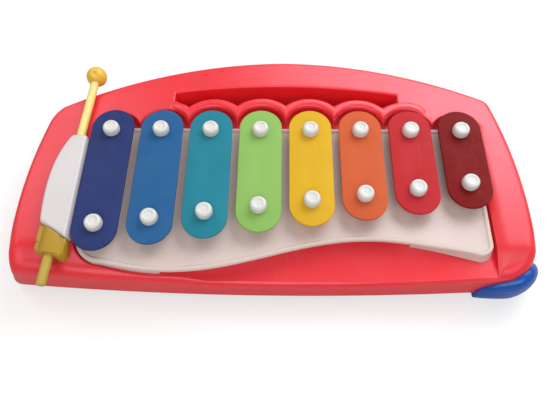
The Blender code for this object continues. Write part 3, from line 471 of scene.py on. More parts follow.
@dataclass
class SoundTray:
    """The white tray under the bars: a wavy front, a rounded rim, a sunk field and a post under each peg."""

    left: float = -178.4 * MM
    right: float = 188.5 * MM
    rear: float = 41.5 * MM
    clear: float = 1.2 * MM
    corner_left: float = 24 * MM
    corner_right: float = 13 * MM
    wave_low: float = -95 * MM
    wave_half: float = 175 * MM
    wave_mid: float = -90.75 * MM
    wave_rise: float = 14.75 * MM
    lip_left: float = -101 * MM
    lip_right: float = 115 * MM
    rim: float = 5 * MM
    rim_round: float = 1.8 * MM
    field_drop: float = 1.4 * MM
    spread: float = 3 * MM
    spread_grow: float = 50 * MM
    spread_rear: float = -72 * MM
    spread_fade: float = 22 * MM
    slot: float = 5 * MM
    slot_low: float = 30 * MM
    slot_front: float = -120 * MM
    slot_rear: float = -68.5 * MM
    post_r: float = 5.2 * MM
    post_reach: tuple[float, float] = (38.5 * MM, 51.2 * MM)
    bore_r: float = 2.8 * MM
    bore_reach: tuple[float, float] = (40.7 * MM, 56 * MM)
    boss_r: float = 4.6 * MM
    pilot_r: float = 1.9 * MM
    pilot_low: float = 15 * MM
    wave_steps: int = 60
    corner_steps: int = 12

    def front(self, x: float) -> float:
        """The depth of the wavy front edge."""
        return self.wave_mid - self.wave_rise * math.cos(math.pi * (x - self.wave_low) / self.wave_half)

    def outline(self, inset: float = 0.0) -> list[Vector]:
        """The tray's plan, drawn in by the inset."""
        left, right = self.left + self.clear + inset, self.right - self.clear - inset
        rear = self.rear - inset
        near = self.corner_left - min(inset, self.corner_left / 2)
        far = self.corner_right - min(inset, self.corner_right / 2)
        first, last = left + near, right - far
        spots = (first + (last - first) * i / self.wave_steps for i in range(self.wave_steps + 1))
        wave = [Vector((x, self.front(x) + inset)) for x in spots]
        steps = self.corner_steps
        line = arc((first, wave[0].y + near), near, math.pi, 1.5 * math.pi, steps)[:-1] + wave
        line += arc((last, wave[-1].y + far), far, 1.5 * math.pi, math.tau, steps)[1:]
        line += arc((right - far, rear - far), far, 0, math.pi / 2, steps)
        return line + arc((left + far, rear - far), far, math.pi / 2, math.pi, steps)

    def spread_plan(self, inset: float) -> list[Vector]:
        """The outline drawn in further where the front face leans back, towards the right corner."""
        plan = []
        for near, far in zip(self.outline(inset), self.outline(inset + self.spread)):
            share = ease((near.x - self.lip_right) / self.spread_grow)
            share *= ease((self.spread_rear - near.y) / self.spread_fade)
            plan.append(near.lerp(far, share))
        return plan

    def shell(self) -> Piece:
        """The tray's upper form: wall, rounded rim, slope and field."""
        low, top, turn = LEVELS.apron + LEVELS.gap, LEVELS.tray, self.rim_round
        plans = [(self.outline(), low)]
        plans += [(self.spread_plan(inset), top - drop) for inset, drop in rounding(turn, 5)]
        for share in (0.0, 0.2, 0.5, 0.8, 1.0):
            plan = self.spread_plan(self.rim - turn + turn * share)
            plans.append((plan, top - self.field_drop * ease(share)))
        return Bench.loft("sound_tray_top", [[Vector((*p, level)) for p in plan] for plan, level in plans])

    def build(self, look: Look) -> None:
        """Makes the tray and dresses it."""
        low, field_level = LEVELS.apron + LEVELS.gap, LEVELS.tray - self.field_drop
        under, pegs, screws = field_level - LEVELS.wall, ROW.all_pegs(), ROW.tray_screws()
        tray = self.shell()
        Bench.carve(tray, Bench.slab("hollow", self.spread_plan(LEVELS.wall), low - LEVELS.past, under))
        posts = upright("posts", pegs, self.post_r, *self.post_reach, 24)
        bosses = upright("bosses", screws, self.boss_r, LEVELS.basin + LEVELS.gap, field_level - 1 * MM, 20)
        Bench.carve(tray, posts, bosses, how="UNION")
        bores = upright("bores", pegs, self.bore_r, *self.bore_reach, 20)
        pilots = upright("pilots", screws, self.pilot_r, self.pilot_low, under, 16)
        front = rectangle(self.lip_left, self.lip_right, self.slot_front, self.slot_rear)
        slot = Bench.slab("sound_slot", front, self.slot_low, LEVELS.apron + self.slot)
        Bench.carve(tray, bores, pilots, slot)
        Bench.finish(tray, look, TOY, Slot.TRAY.value, "sound_tray", 32)


def upright(name: str, spots: Points, radius: float, low: float, high: float, steps: int) -> Piece:
    """Equal upright cylinders: one is modelled and the others are its copies, joined in one object."""
    first = Bench.turned(name, [(0, low), (radius, low), (radius, high), (0, high)], steps)
    made = [
        Bench.place(Bench.copy(first, f"{name}_{i}"), Vector((*spot[:2], 0))) for i, spot in enumerate(spots)
    ]
    bpy.data.objects.remove(first)
    return Bench.weld(made[0], name, *made[1:])


TRAY = SoundTray()


@dataclass
class BodyShell:
    """The red moulded body: an arched deck with a grip slot, a scalloped band, an apron and a hollow."""

    left: float = -246 * MM
    right: float = 229.6 * MM
    rear: float = 125.9 * MM
    front: float = -115 * MM
    arch_x: float = 2 * MM
    side_y: float = -50 * MM
    rear_r: float = 463.02 * MM
    side_r: float = 460.1 * MM
    front_r: float = 3202.9 * MM
    corners: tuple[float, float, float, float] = (28 * MM, 30 * MM, 19 * MM, 38 * MM)
    low_corners: tuple[float, float, float, float] = (12 * MM, 30 * MM, 19 * MM, 38 * MM)
    edge: float = 7 * MM
    edge_corner: float = 14 * MM
    edge_growth: float = 50 * MM
    taper: tuple[float, float, float] = (1 * MM, 10 * MM, 5 * MM)
    slope_start: float = -82 * MM
    slope_end: float = -108 * MM
    pocket_front: float = -127 * MM
    scallop_in: float = 25.95 * MM
    scallop_out: float = 36.45 * MM
    scallop_arch: float = 38 * MM
    scallop_drop: float = 7.55 * MM
    band_round: float = 4.2 * MM
    band_sink: float = 1.5 * MM
    band_fade: float = 16 * MM
    band_left: float = -110 * MM
    band_right: float = 147 * MM
    slot_left: float = -104 * MM
    slot_right: float = 117 * MM
    slot_rear: float = 90.2 * MM
    slot_r: float = 669.64 * MM
    slot_flange: float = 32 * MM
    lip: float = 1.8 * MM
    lip_swell: float = 7.0
    lip_sink: float = 2.6 * MM
    rear_swell: float = 4.2
    keep_swell: float = 2.2
    side_blend: float = 8 * MM
    lip_start: float = -110 * MM
    lip_full: float = -84 * MM
    slope_soft: float = 0.35
    apron_fall: float = 6 * MM
    fall_ends: tuple[float, float] = (-101 * MM, 188 * MM)
    fall_blends: tuple[float, float] = (42 * MM, 105 * MM)
    scoop_under: float = 14 * MM
    scoop_beside: float = 2 * MM
    scoop_depth: float = 6 * MM
    scoop_skim: float = 0.04 * MM
    scoop_blend: float = 20 * MM
    scoop_steps: tuple[int, int] = (90, 36)
    near_steps: int = 12
    far_steps: int = 44
    basin_inset: float = 9 * MM
    rib: float = 2.2 * MM
    rib_bars: tuple[int, int, int, int] = (1, 3, 4, 6)
    rib_back: float = 15.75 * MM
    boss_r: float = 4.6 * MM
    screw_way_r: float = 1.9 * MM
    stem_way_r: float = 3.3 * MM
    stem_way_top: float = 19.5 * MM
    corner_steps: int = 12
    side_steps: int = 28
    long_steps: int = 72
    edge_steps: int = 7

    def discs(self, offset: float) -> dict[str, tuple[Vector, float]]:
        """The four large arcs of the plan, as (centre, radius)."""
        return {
            "left": (Vector((self.left + self.side_r, self.side_y)), self.side_r - offset),
            "front": (Vector((self.arch_x, self.front + self.front_r)), self.front_r - offset),
            "right": (Vector((self.right - self.side_r, self.side_y)), self.side_r - offset),
            "rear": (Vector((self.arch_x, self.rear - self.rear_r)), self.rear_r - offset),
        }

    def outline(self, offset: float = 0.0, corners: Optional[Sequence[float]] = None) -> list[Vector]:
        """The plan, drawn in by the offset, anticlockwise from the middle of the front left corner."""
        discs = self.discs(offset)
        sides = ("left", "front", "right", "rear")
        quadrants = ((-1, -1), (1, -1), (1, 1), (-1, 1))
        fillets = []
        for k, radius in enumerate(corners or self.corners):
            radius -= offset
            before, after = discs[sides[k]], discs[sides[(k + 1) % 4]]
            spots = [
                meet((before[0], before[1] - radius), (after[0], after[1] - radius), above)
                for above in (True, False)
            ]
            fillets.append((max(spots, key=lambda p: p.x * quadrants[k][0] + p.y * quadrants[k][1]), radius))

        def turn(disc: str, corner: int) -> float:
            away = fillets[corner][0] - discs[disc][0]
            return math.atan2(away.y, away.x) % math.tau

        line: list[Vector] = []
        for k in range(4):
            start, end = turn(sides[k], k), turn(sides[(k + 1) % 4], k)
            end += math.tau if end < start else 0
            line += arc(*fillets[k], start, end, self.corner_steps)[:-1]
            side = sides[(k + 1) % 4]
            start, end = turn(side, k), turn(side, (k + 1) % 4)
            end += math.tau if end < start else 0
            steps = self.long_steps if side in ("front", "rear") else self.side_steps
            line += arc(*discs[side], start, end, steps)[:-1]
        half = self.corner_steps // 2
        return line[half:] + line[:half]

    def deck(self, spot: Vector) -> float:
        """The deck's height: crowned to the rear and sloping down at the front."""
        share = clamp((self.slope_start - spot.y) / (self.slope_start - self.slope_end))
        slope = ease(share) * self.slope_soft + share * (1 - self.slope_soft)
        across = clamp((spot.y - self.slope_start) / (self.rear - self.slope_start))
        crown = LEVELS.crown * math.sin(math.pi * across)
        return LEVELS.deck + crown - slope * (LEVELS.deck - LEVELS.apron + self.fall(spot.x))

    def fall(self, x: float) -> float:
        """How far the apron falls to the front at this place."""
        left = (x - self.fall_ends[0]) / self.fall_blends[0]
        right = (self.fall_ends[1] - x) / self.fall_blends[1]
        return self.apron_fall * ease(min(left, right))

    def edge_radius(self, spot: Vector) -> float:
        """The deck's edge, which is rounder towards the front corners."""
        front = clamp((self.front + self.edge_growth - spot.y) / self.edge_growth)
        aside = min(abs(spot.x - self.arch_x) / ((self.right - self.left) / 2), 1)
        return self.edge + (self.edge_corner - self.edge) * front * aside**2

    def draw_in(self, way: Vector) -> float:
        """How far the wall draws in from the floor to the deck."""
        end = self.taper[1] if way.x > 0 else self.taper[2]
        return self.taper[0] + (end - self.taper[0]) * abs(way.x)

    def rim(self) -> list[tuple[Vector, Vector]]:
        """The lower outline, as (point, way inwards)."""
        pairs = zip(self.outline(), self.outline(LEVELS.wall))
        return [(p, (q - p).normalized()) for p, q in pairs]

    def rings(self, inset: float, low: float, sink: float) -> list[list[Vector]]:
        """The rings of the deck's edge and the wall, from the deck down to the floor's sharper corners."""
        rim, base = self.rim(), self.outline(corners=self.low_corners)
        rings = []
        for k in range(self.edge_steps, -1, -1):
            angle = math.pi / 2 * k / self.edge_steps
            ring = []
            for (point, way), lowest in zip(rim, base):
                radius = self.edge_radius(point)
                whole = self.draw_in(way) + radius
                level = self.deck(point + way * whole)
                offset = whole - radius * math.cos(angle)
                spot = point.lerp(lowest, 1 - offset / whole) + way * (offset + inset)
                ring.append(Vector((*spot, level - radius * (1 - math.sin(angle)) - sink)))
            rings.append(ring)
        rings.append([Vector((*(lowest + way * inset), low)) for (_, way), lowest in zip(rim, base)])
        return rings

    def solid(self, name: str, inset: float = 0.0, low: float = LEVELS.floor, sink: float = 0.0) -> Piece:
        """The body's outer form, from a grid laid over the plan whose border is extruded down to the floor.

        Args:
            name: the object's name.
            inset: how far the form is drawn in.
            low: the level of its flat bottom.
            sink: how far its deck is lowered.

        Returns:
            The closed solid.
        """
        rings = self.rings(inset, low, sink)
        across, deep = self.long_steps + self.corner_steps, self.side_steps + self.corner_steps
        Bench.clear()
        bpy.ops.mesh.primitive_grid_add(x_subdivisions=across, y_subdivisions=deep, size=2)
        piece = bpy.context.object
        piece.name = piece.data.name = name
        turn = piece.data.attributes.new("turn", "INT", "POINT")
        top = rings[0]
        front, rear = top[: across + 1], top[across + deep : 2 * across + deep + 1][::-1]
        side_right = top[across : across + deep + 1]
        side_left = (top[2 * across + deep :] + top[:1])[::-1]
        for vert in piece.data.vertices:
            i = round((vert.co.x + 1) / 2 * across)
            j = round((vert.co.y + 1) / 2 * deep)
            u, v = i / across, j / deep
            spot = front[i] * (1 - v) + rear[i] * v + side_left[j] * (1 - u) + side_right[j] * u
            spot -= (front[0] * (1 - u) + front[-1] * u) * (1 - v) + (rear[0] * (1 - u) + rear[-1] * u) * v
            index = -1
            if j == 0:
                index = i
            elif i == across:
                index = across + j
            elif j == deep:
                index = across + deep + across - i
            elif i == 0:
                index = 2 * across + deep + deep - j
            if index < 0:
                spot.z = self.deck(spot) - sink
            else:
                spot = top[index]
            turn.data[vert.index].value = index
            vert.co = spot
        Bench.enter()
        bpy.ops.mesh.region_to_loop()
        bpy.ops.mesh.select_mode(type="VERT")
        for ring in rings[1:]:
            Bench.extrude_ring(piece, ring)
        bpy.ops.mesh.edge_face_add()
        Bench.seal(piece)
        return piece

    def seat(self) -> Piece:
        """The body's form grown by the gap, to cut what sits on it."""
        gap = LEVELS.gap
        return self.solid("seat", -gap, LEVELS.floor - gap, -gap)

    def scallop_centre(self, index: int) -> Vector:
        """The centre of the scallop round a bar's rear end."""
        x = ROW.x(index)
        return Vector((x, self.scallop_arch - self.scallop_drop * ((x - self.arch_x) / ROW.reach) ** 2))

    def scallops(self, radius: float, left: float, right: float, steps: int = 16) -> list[Vector]:
        """The scalloped line from left to right, as the rear edge of a row of discs."""
        centres = [self.scallop_centre(i) for i in range(ROW.count)]

        def height(x: float) -> float:
            near = (c for c in centres if abs(x - c.x) < radius)
            return max(c.y + math.sqrt(radius**2 - (x - c.x) ** 2) for c in near)

        stops = [meet((a, radius), (b, radius), True).x for a, b in zip(centres, centres[1:])]
        stops = [left] + [s for s in stops if left < s < right] + [right]
        line = []
        for a, b in zip(stops, stops[1:]):
            for i in range(steps):
                share = (1 - math.cos(math.pi * i / steps)) / 2
                line.append(Vector((a + (b - a) * share, height(a + (b - a) * share))))
        return line + [Vector((right, height(right)))]

    def fade(self, x: float) -> float:
        """How far the band has risen at this place: 0 outside it and 1 along its middle."""
        share = min(x - self.band_left, self.band_right - x) / self.band_fade
        return math.sin(math.pi / 2 * clamp(share))

    def band(self) -> Piece:
        """The broad rounded band behind the scallops, lofted from end to end."""
        low = LEVELS.deck - self.band_sink
        levels: list[tuple[float, Optional[float]]] = [(0, None), *rounding(self.band_round, 7)]
        ends = (self.band_left, self.band_right)
        lines = [(self.scallops(self.scallop_out - inset, *ends), drop) for inset, drop in levels]
        lines += [(self.scallops(self.scallop_in + inset, *ends), drop) for inset, drop in reversed(levels)]
        rings = []
        for i in range(len(lines[0][0])):
            ring = []
            for line, drop in lines:
                spot = line[i]
                top = LEVELS.deck - LEVELS.gap + (LEVELS.band - LEVELS.deck + LEVELS.gap) * self.fade(spot.x)
                ring.append(Vector((*spot, low if drop is None else max(top - drop, low + LEVELS.gap))))
            rings.append(ring)
        return Bench.loft("band", rings)

    def swell(self, depth: float) -> float:
        """The share of the broad lip beside the tray: none in front, where the deck meets the apron."""
        return ease((depth - self.lip_start) / (self.lip_full - self.lip_start))

    def pocket(self, grow: float, fade: bool = True) -> list[Vector]:
        """The lowered middle of the deck. Where the band stands, its edge doesn't grow."""
        reach = self.lip_swell if fade else self.keep_swell
        left, right = TRAY.left - grow, TRAY.right + grow * min(reach, self.rear_swell)
        whole = TRAY.outline(-TRAY.clear)
        crest = TRAY.wave_mid + TRAY.wave_rise
        keep = [i for i, p in enumerate(whole) if p.x < TRAY.lip_left and p.y < crest]
        grown = TRAY.outline(-TRAY.clear - grow)
        lead = [grown[i] for i in keep]
        rear = self.scallops(self.scallop_in + grow, left, right)
        if fade:
            base = self.scallops(self.scallop_in, TRAY.left, TRAY.right)
            rear = [p.lerp(q, self.fade(q.x)) for p, q in zip(rear, base)]
        low = self.pocket_front
        near = span(Vector((TRAY.lip_left, lead[-1].y)), Vector((TRAY.lip_left, low)), self.near_steps)
        far = span(Vector((TRAY.right + grow * reach, low)), rear[-1], self.far_steps)
        far = [Vector((TRAY.right + (p.x - TRAY.right) * self.swell(p.y), p.y)) for p in far]
        return lead[:-1] + near + far + rear[:-1][::-1]

    def slot(self, grow: float = 0.0, ahead: float = 0.0) -> list[Vector]:
        """The grip slot: an arc behind and the scallops in front, each grown by its own amount."""
        left, right = self.slot_left - grow, self.slot_right + grow
        centre = Vector((self.arch_x, self.slot_rear - self.slot_r))
        radius = self.slot_r + grow
        start, end = math.acos((right - centre.x) / radius), math.acos((left - centre.x) / radius)
        rear = arc(centre, radius, start, end, self.long_steps)
        return self.scallops(self.scallop_out - ahead, left, right) + rear

    def flared(self, name: str, base: Points, low: float, grow_to: Sequence[Points]) -> Piece:
        """A cutter whose upper edge spreads, so that it leaves a rounded lip on the deck.

        Args:
            name: the object's name.
            base: its outline below the lip.
            low: its bottom.
            grow_to: the outlines of the lip, from the inside out.

        Returns:
            The closed cutter.
        """
        steps = len(grow_to) - 1
        rings = [[Vector((*p, low)) for p in base]]
        for k, line in enumerate(grow_to):
            turn = math.pi / 2 * k / steps
            drop, sink = self.lip * (1 - math.sin(turn)), self.lip_sink * math.cos(turn) ** 2
            floor = max(low, LEVELS.apron) + 0.02 * MM * (k + 1)
            ring = []
            for start, p in zip(base, line):
                side = clamp((start.x - TRAY.right) / self.side_blend + 1)
                fallen = drop * (1 - side) + sink * self.swell(start.y) * side
                ring.append(Vector((*p, max(self.deck(p) - fallen, floor))))
            rings.append(ring)
        rings.append([Vector((*p, LEVELS.band + LEVELS.past)) for p in grow_to[-1]])
        return Bench.loft(name, rings)

    def scoop(self) -> Piece:
        """The apron's hollow: it falls from under the tray's raised edge and levels out to the front."""
        low, top = LEVELS.apron + self.scoop_skim, LEVELS.apron + LEVELS.past / 2
        stations, steps = self.scoop_steps
        rings = []
        for k in range(stations + 1):
            x = self.fall_ends[0] + (self.fall_ends[1] - self.fall_ends[0]) * k / stations
            under = ease((TRAY.lip_right - x) / self.scoop_blend)
            start = TRAY.front(x) + self.scoop_beside + (self.scoop_under - self.scoop_beside) * under
            ring = []
            for s in range(steps + 1):
                y = start + (self.pocket_front - start) * s / steps
                share = clamp((start - y) / (start - self.slope_end))
                ring.append(Vector((x, y, low - self.fall(x) * (1 - (1 - share) ** 2))))
            ring += [Vector((x, ring[-1].y, top)), Vector((x, ring[0].y, top))]
            rings.append(ring)
        return Bench.loft("scoop", rings)

    def cavity(self) -> Piece:
        """The hollow underside, with the walls, ribs and bosses left standing."""
        wall, top = LEVELS.wall, LEVELS.band + LEVELS.past
        hollow = self.solid("cavity", wall, LEVELS.floor - LEVELS.past, wall)
        keep = [
            Bench.slab("pocket_keep", self.pocket(wall, False), LEVELS.apron - self.scoop_depth - wall, top),
            Bench.slab("basin_keep", TRAY.outline(self.basin_inset - wall), LEVELS.basin - wall, top),
            Bench.slab("slot_keep", self.slot(wall, wall), LEVELS.deck - self.slot_flange, top),
        ]
        for index in self.rib_bars:
            x, half = ROW.x(index), self.rib / 2
            plan = rectangle(x - half, x + half, self.front - LEVELS.past, self.slot_rear - self.rib_back)
            keep.append(Bench.slab(f"rib_keep_{index}", plan, LEVELS.floor + 2 * wall, top))
        keep.append(upright("boss_keep", list(PAD_SPOTS.values()), self.boss_r, LEVELS.floor, top, 20))
        return Bench.carve(hollow, *keep)

    def build(self, look: Look) -> None:
        """Makes the body and dresses it."""
        body = self.solid("moulded_body")
        top = LEVELS.band + LEVELS.past
        Bench.carve(body, self.band(), how="UNION")
        lips = [inset for inset, _ in rounding(self.lip, 5)]
        pocket = self.flared("pocket", self.pocket(0), LEVELS.apron, [self.pocket(g) for g in lips])
        slot = self.flared("slot", self.slot(), LEVELS.floor - LEVELS.past, [self.slot(g) for g in lips])
        basin = Bench.slab("basin", TRAY.outline(self.basin_inset), LEVELS.basin, top)
        Bench.carve(body, pocket, basin, self.scoop(), self.cavity(), slot)
        screws, stems = ROW.tray_screws() + HOLDER_SCREWS, list(PAD_SPOTS.values())
        Bench.carve(body, upright("screw_ways", screws, self.screw_way_r, 0, top, 16))
        Bench.carve(body, upright("stem_ways", stems, self.stem_way_r, 0, self.stem_way_top, 20))
        Bench.finish(body, look, TOY, Slot.BODY.value, "body_shell", 32)


def beside_shaft(rear: float, length: float, share: float, aside: float) -> Vector:
    """A screw's place left of the shaft, at a share of the cover. Rear and length are in millimetres."""
    y = (rear - length * share) * MM
    return Vector((LINE.point(y).x - aside, y))


BODY = BodyShell()
PAD_SPOTS = {
    "foot_front_left": Vector((-206 * MM, -91 * MM)),
    "foot_rear_left": Vector((-206 * MM, 56.97 * MM)),
    "foot_rear_right": Vector((189.6 * MM, 56.97 * MM)),
}
HOLDER_SCREWS = [beside_shaft(22.6, 89.6, share, 10.5 * MM) for share in (0.453, 0.833)]

# The peg's head, as shares of its radius and height, from the rim of its side to the gate mark in its dimple
PEG_HEAD = (
    (1.0, 0.1), (1.003, 0.2), (1.0, 0.4), (0.992, 0.55), (0.972, 0.68), (0.935, 0.79), (0.88, 0.88),
    (0.81, 0.94), (0.74, 0.975), (0.67, 0.995), (0.62, 1.0), (0.575, 0.99), (0.545, 0.965),
    (0.51, 0.935), (0.45, 0.915), (0.36, 0.9), (0.2, 0.893), (0.11, 0.892),
)

# The corner foot's outer face and its top, as shares of its reach outwards or inwards and of its height
FOOT_FACE = (
    (0.0, 0.0), (0.3, 0.005), (0.55, 0.03), (0.75, 0.095), (0.9, 0.2), (0.975, 0.32), (1.0, 0.45),
    (0.965, 0.58), (0.86, 0.72), (0.69, 0.84), (0.45, 0.93), (0.18, 0.985),
)
FOOT_TOP = ((0.1, 1.0), (0.35, 1.0), (0.7, 0.97), (1.0, 0.8))


@dataclass
class Bars:
    """Eight stamped and painted metal bars on soft grommets, each held by two white pegs."""

    hole_r: float = 3.5 * MM
    edge: float = 0.7 * MM
    hole_lip: float = 0.5 * MM
    round_steps: int = 28
    peg_r: float = 7.6 * MM
    peg_height: float = 7.4 * MM
    shank_r: float = 2.5 * MM
    shank_tip: float = 41 * MM
    grommet_r: float = 6.2 * MM

    def outline(self, length: float, inset: float, level: float) -> list[Vector]:
        """A bar's plan about its own middle, with round ends."""
        reach, radius = length / 2 - ROW.width / 2, ROW.width / 2 - inset
        line = arc((0, reach), radius, 0, math.pi, self.round_steps)
        line += arc((0, -reach), radius, math.pi, math.tau, self.round_steps)
        return [Vector((*p, level)) for p in line]

    def bar(self, index: int, look: Look) -> None:
        """One bar: rounded edges above and below, and two holes with a soft lip."""
        length, top = ROW.length(index), LEVELS.bar
        low, turns = top - ROW.thick, rounding(self.edge, 4)
        rings = [self.outline(length, drop, low + inset) for inset, drop in turns]
        rings += [self.outline(length, inset, top - drop) for inset, drop in turns]
        bar = Bench.loft(f"bar_plate_{index + 1}", rings)
        Bench.place(bar, Vector((ROW.x(index), ROW.rear - length / 2, 0)))
        profile = [(0, low - MM), (self.hole_r, low - MM)]
        profile += [(self.hole_r + inset, top - drop) for inset, drop in rounding(self.hole_lip, 4)]
        profile += [(self.hole_r + self.hole_lip, top + MM), (0, top + MM)]
        punch = Bench.turned("punch", profile, 32)
        holes = [Bench.place(Bench.copy(punch, "hole"), Vector((*spot, 0))) for spot in ROW.pegs(index)]
        bpy.data.objects.remove(punch)
        Bench.carve(bar, Bench.weld(holes[0], "holes", holes[1]))
        Bench.finish(bar, look, TOY, list(Paint)[index].slot, f"bar_{index + 1}", 32)

    def peg(self) -> Piece:
        """A push-in peg about its own axis: shank, flanged head and a dimple with a small gate mark."""
        low, end = LEVELS.bar + LEVELS.gap, self.shank_tip
        tip = self.shank_r * 0.7
        profile = [(0, end), (tip, end), (self.shank_r, end + self.shank_r - tip)]
        profile += [(self.shank_r, low), (self.peg_r * 0.93, low), (self.peg_r * 0.985, low + 0.25 * MM)]
        profile += [(self.peg_r * out, low + self.peg_height * up) for out, up in PEG_HEAD]
        gate = low + self.peg_height * PEG_HEAD[-1][1]
        profile += [(0.7 * MM, gate + 0.2 * MM), (0.45 * MM, gate + 0.3 * MM), (0, gate + 0.3 * MM)]
        return Bench.turned("peg", profile, 40)

    def grommet(self) -> Piece:
        """A soft grommet about its own axis: a washer under the bar and a neck up through the hole."""
        thick, gap, wide = 1.6 * MM, LEVELS.gap, self.grommet_r
        low = LEVELS.bar - ROW.thick - gap - thick
        inner, neck, turn = self.shank_r + gap, self.hole_r - gap, 0.4 * MM
        profile = [(inner, low), (wide - turn, low), (wide, low + turn)]
        profile += [(wide, low + thick - turn), (wide - turn, low + thick), (neck, low + thick)]
        profile += [(neck, LEVELS.bar), (inner, LEVELS.bar)]
        return Bench.turned("grommet", profile, 32, closed=True)

    def build(self, looks: Sequence[Look], white: Look, soft: Look) -> None:
        """Makes the bars, and copies one peg and one grommet to all their places, each turned a little."""
        for index, look in enumerate(looks):
            self.bar(index, look)
        masters = (
            ("peg", "peg_top", self.peg(), white, Slot.PEG),
            ("grommet", "soft_grommet", self.grommet(), soft, Slot.GROMMET),
        )
        for kind, label, master, look, slot in masters:
            for index in range(ROW.count):
                for place, spot in zip(("rear", "front"), ROW.pegs(index)):
                    made = Bench.copy(master, f"{label}_{place}_{index + 1}")
                    angle = 0.9 * index + (0.4 if place == "rear" else 0)
                    Bench.place(made, Vector((*spot, 0)), Matrix.Rotation(angle, 4, "Z"))
                    Bench.finish(made, look, TOY, slot.value, f"{kind}_{place}_{index + 1}", 45)
            bpy.data.objects.remove(master)


@dataclass
class Mallet:
    """The stored mallet: a round shaft pressed into a ball."""

    ball_r: float = 10 * MM
    socket: float = 7 * MM
    dimple: float = 1.3 * MM
    dimple_r: float = 7 * MM
    dimple_lean: float = 20
    mouth_lip: float = 0.05
    ball_steps: int = 24
    steps: int = 48

    def build(self, shaft_look: Look, ball_look: Look) -> None:
        """Makes the shaft and the ball on the mallet's axis."""
        length, radius = LINE.length, LINE.shaft_r
        end, turn = length - self.ball_r + self.socket, 1 * MM
        profile = [(0, 0), *((radius - drop, inset) for inset, drop in rounding(turn, 5))]
        profile += [(radius, length * share) for share in (0.2, 0.4, 0.6, 0.8)]
        profile += [(radius, end - turn), (radius - turn, end), (0, end)]
        self.set_down(Bench.turned("mallet_rod", profile, self.steps), shaft_look, "mallet_shaft")
        hole = radius + LEVELS.gap
        mouth = math.asin(hole / self.ball_r)
        profile = [(0, end + LEVELS.gap), (hole, end + LEVELS.gap)]
        profile.append((hole, length - self.ball_r * math.cos(mouth) + 0.25 * MM))
        lip, last = mouth + self.mouth_lip, self.ball_steps
        for k in range(last + 1):
            angle = lip + (math.pi - lip) * k / last
            out = self.ball_r * math.sin(angle) if k < last else 0
            profile.append((out, length - self.ball_r * math.cos(angle)))
        ball = Bench.turned("mallet_ball", profile, self.steps)
        bpy.ops.mesh.primitive_uv_sphere_add(segments=self.steps, ring_count=last, radius=self.dimple_r)
        tool = bpy.context.object
        reach = self.ball_r + self.dimple_r - self.dimple
        lean = math.radians(self.dimple_lean)
        Bench.place(tool, Vector((0, 0, length)) + Vector((0, -math.cos(lean), -math.sin(lean))) * reach)
        self.set_down(Bench.carve(ball, tool), ball_look, "mallet_head")

    def set_down(self, piece: Piece, look: Look, node: str) -> None:
        """Lays a turned piece along the mallet's axis and dresses it."""
        Bench.place(piece, Vector((*LINE.tail, LINE.height)), LINE.turn)
        Bench.finish(piece, look, MALLET, Slot.MALLET.value, node, 35)


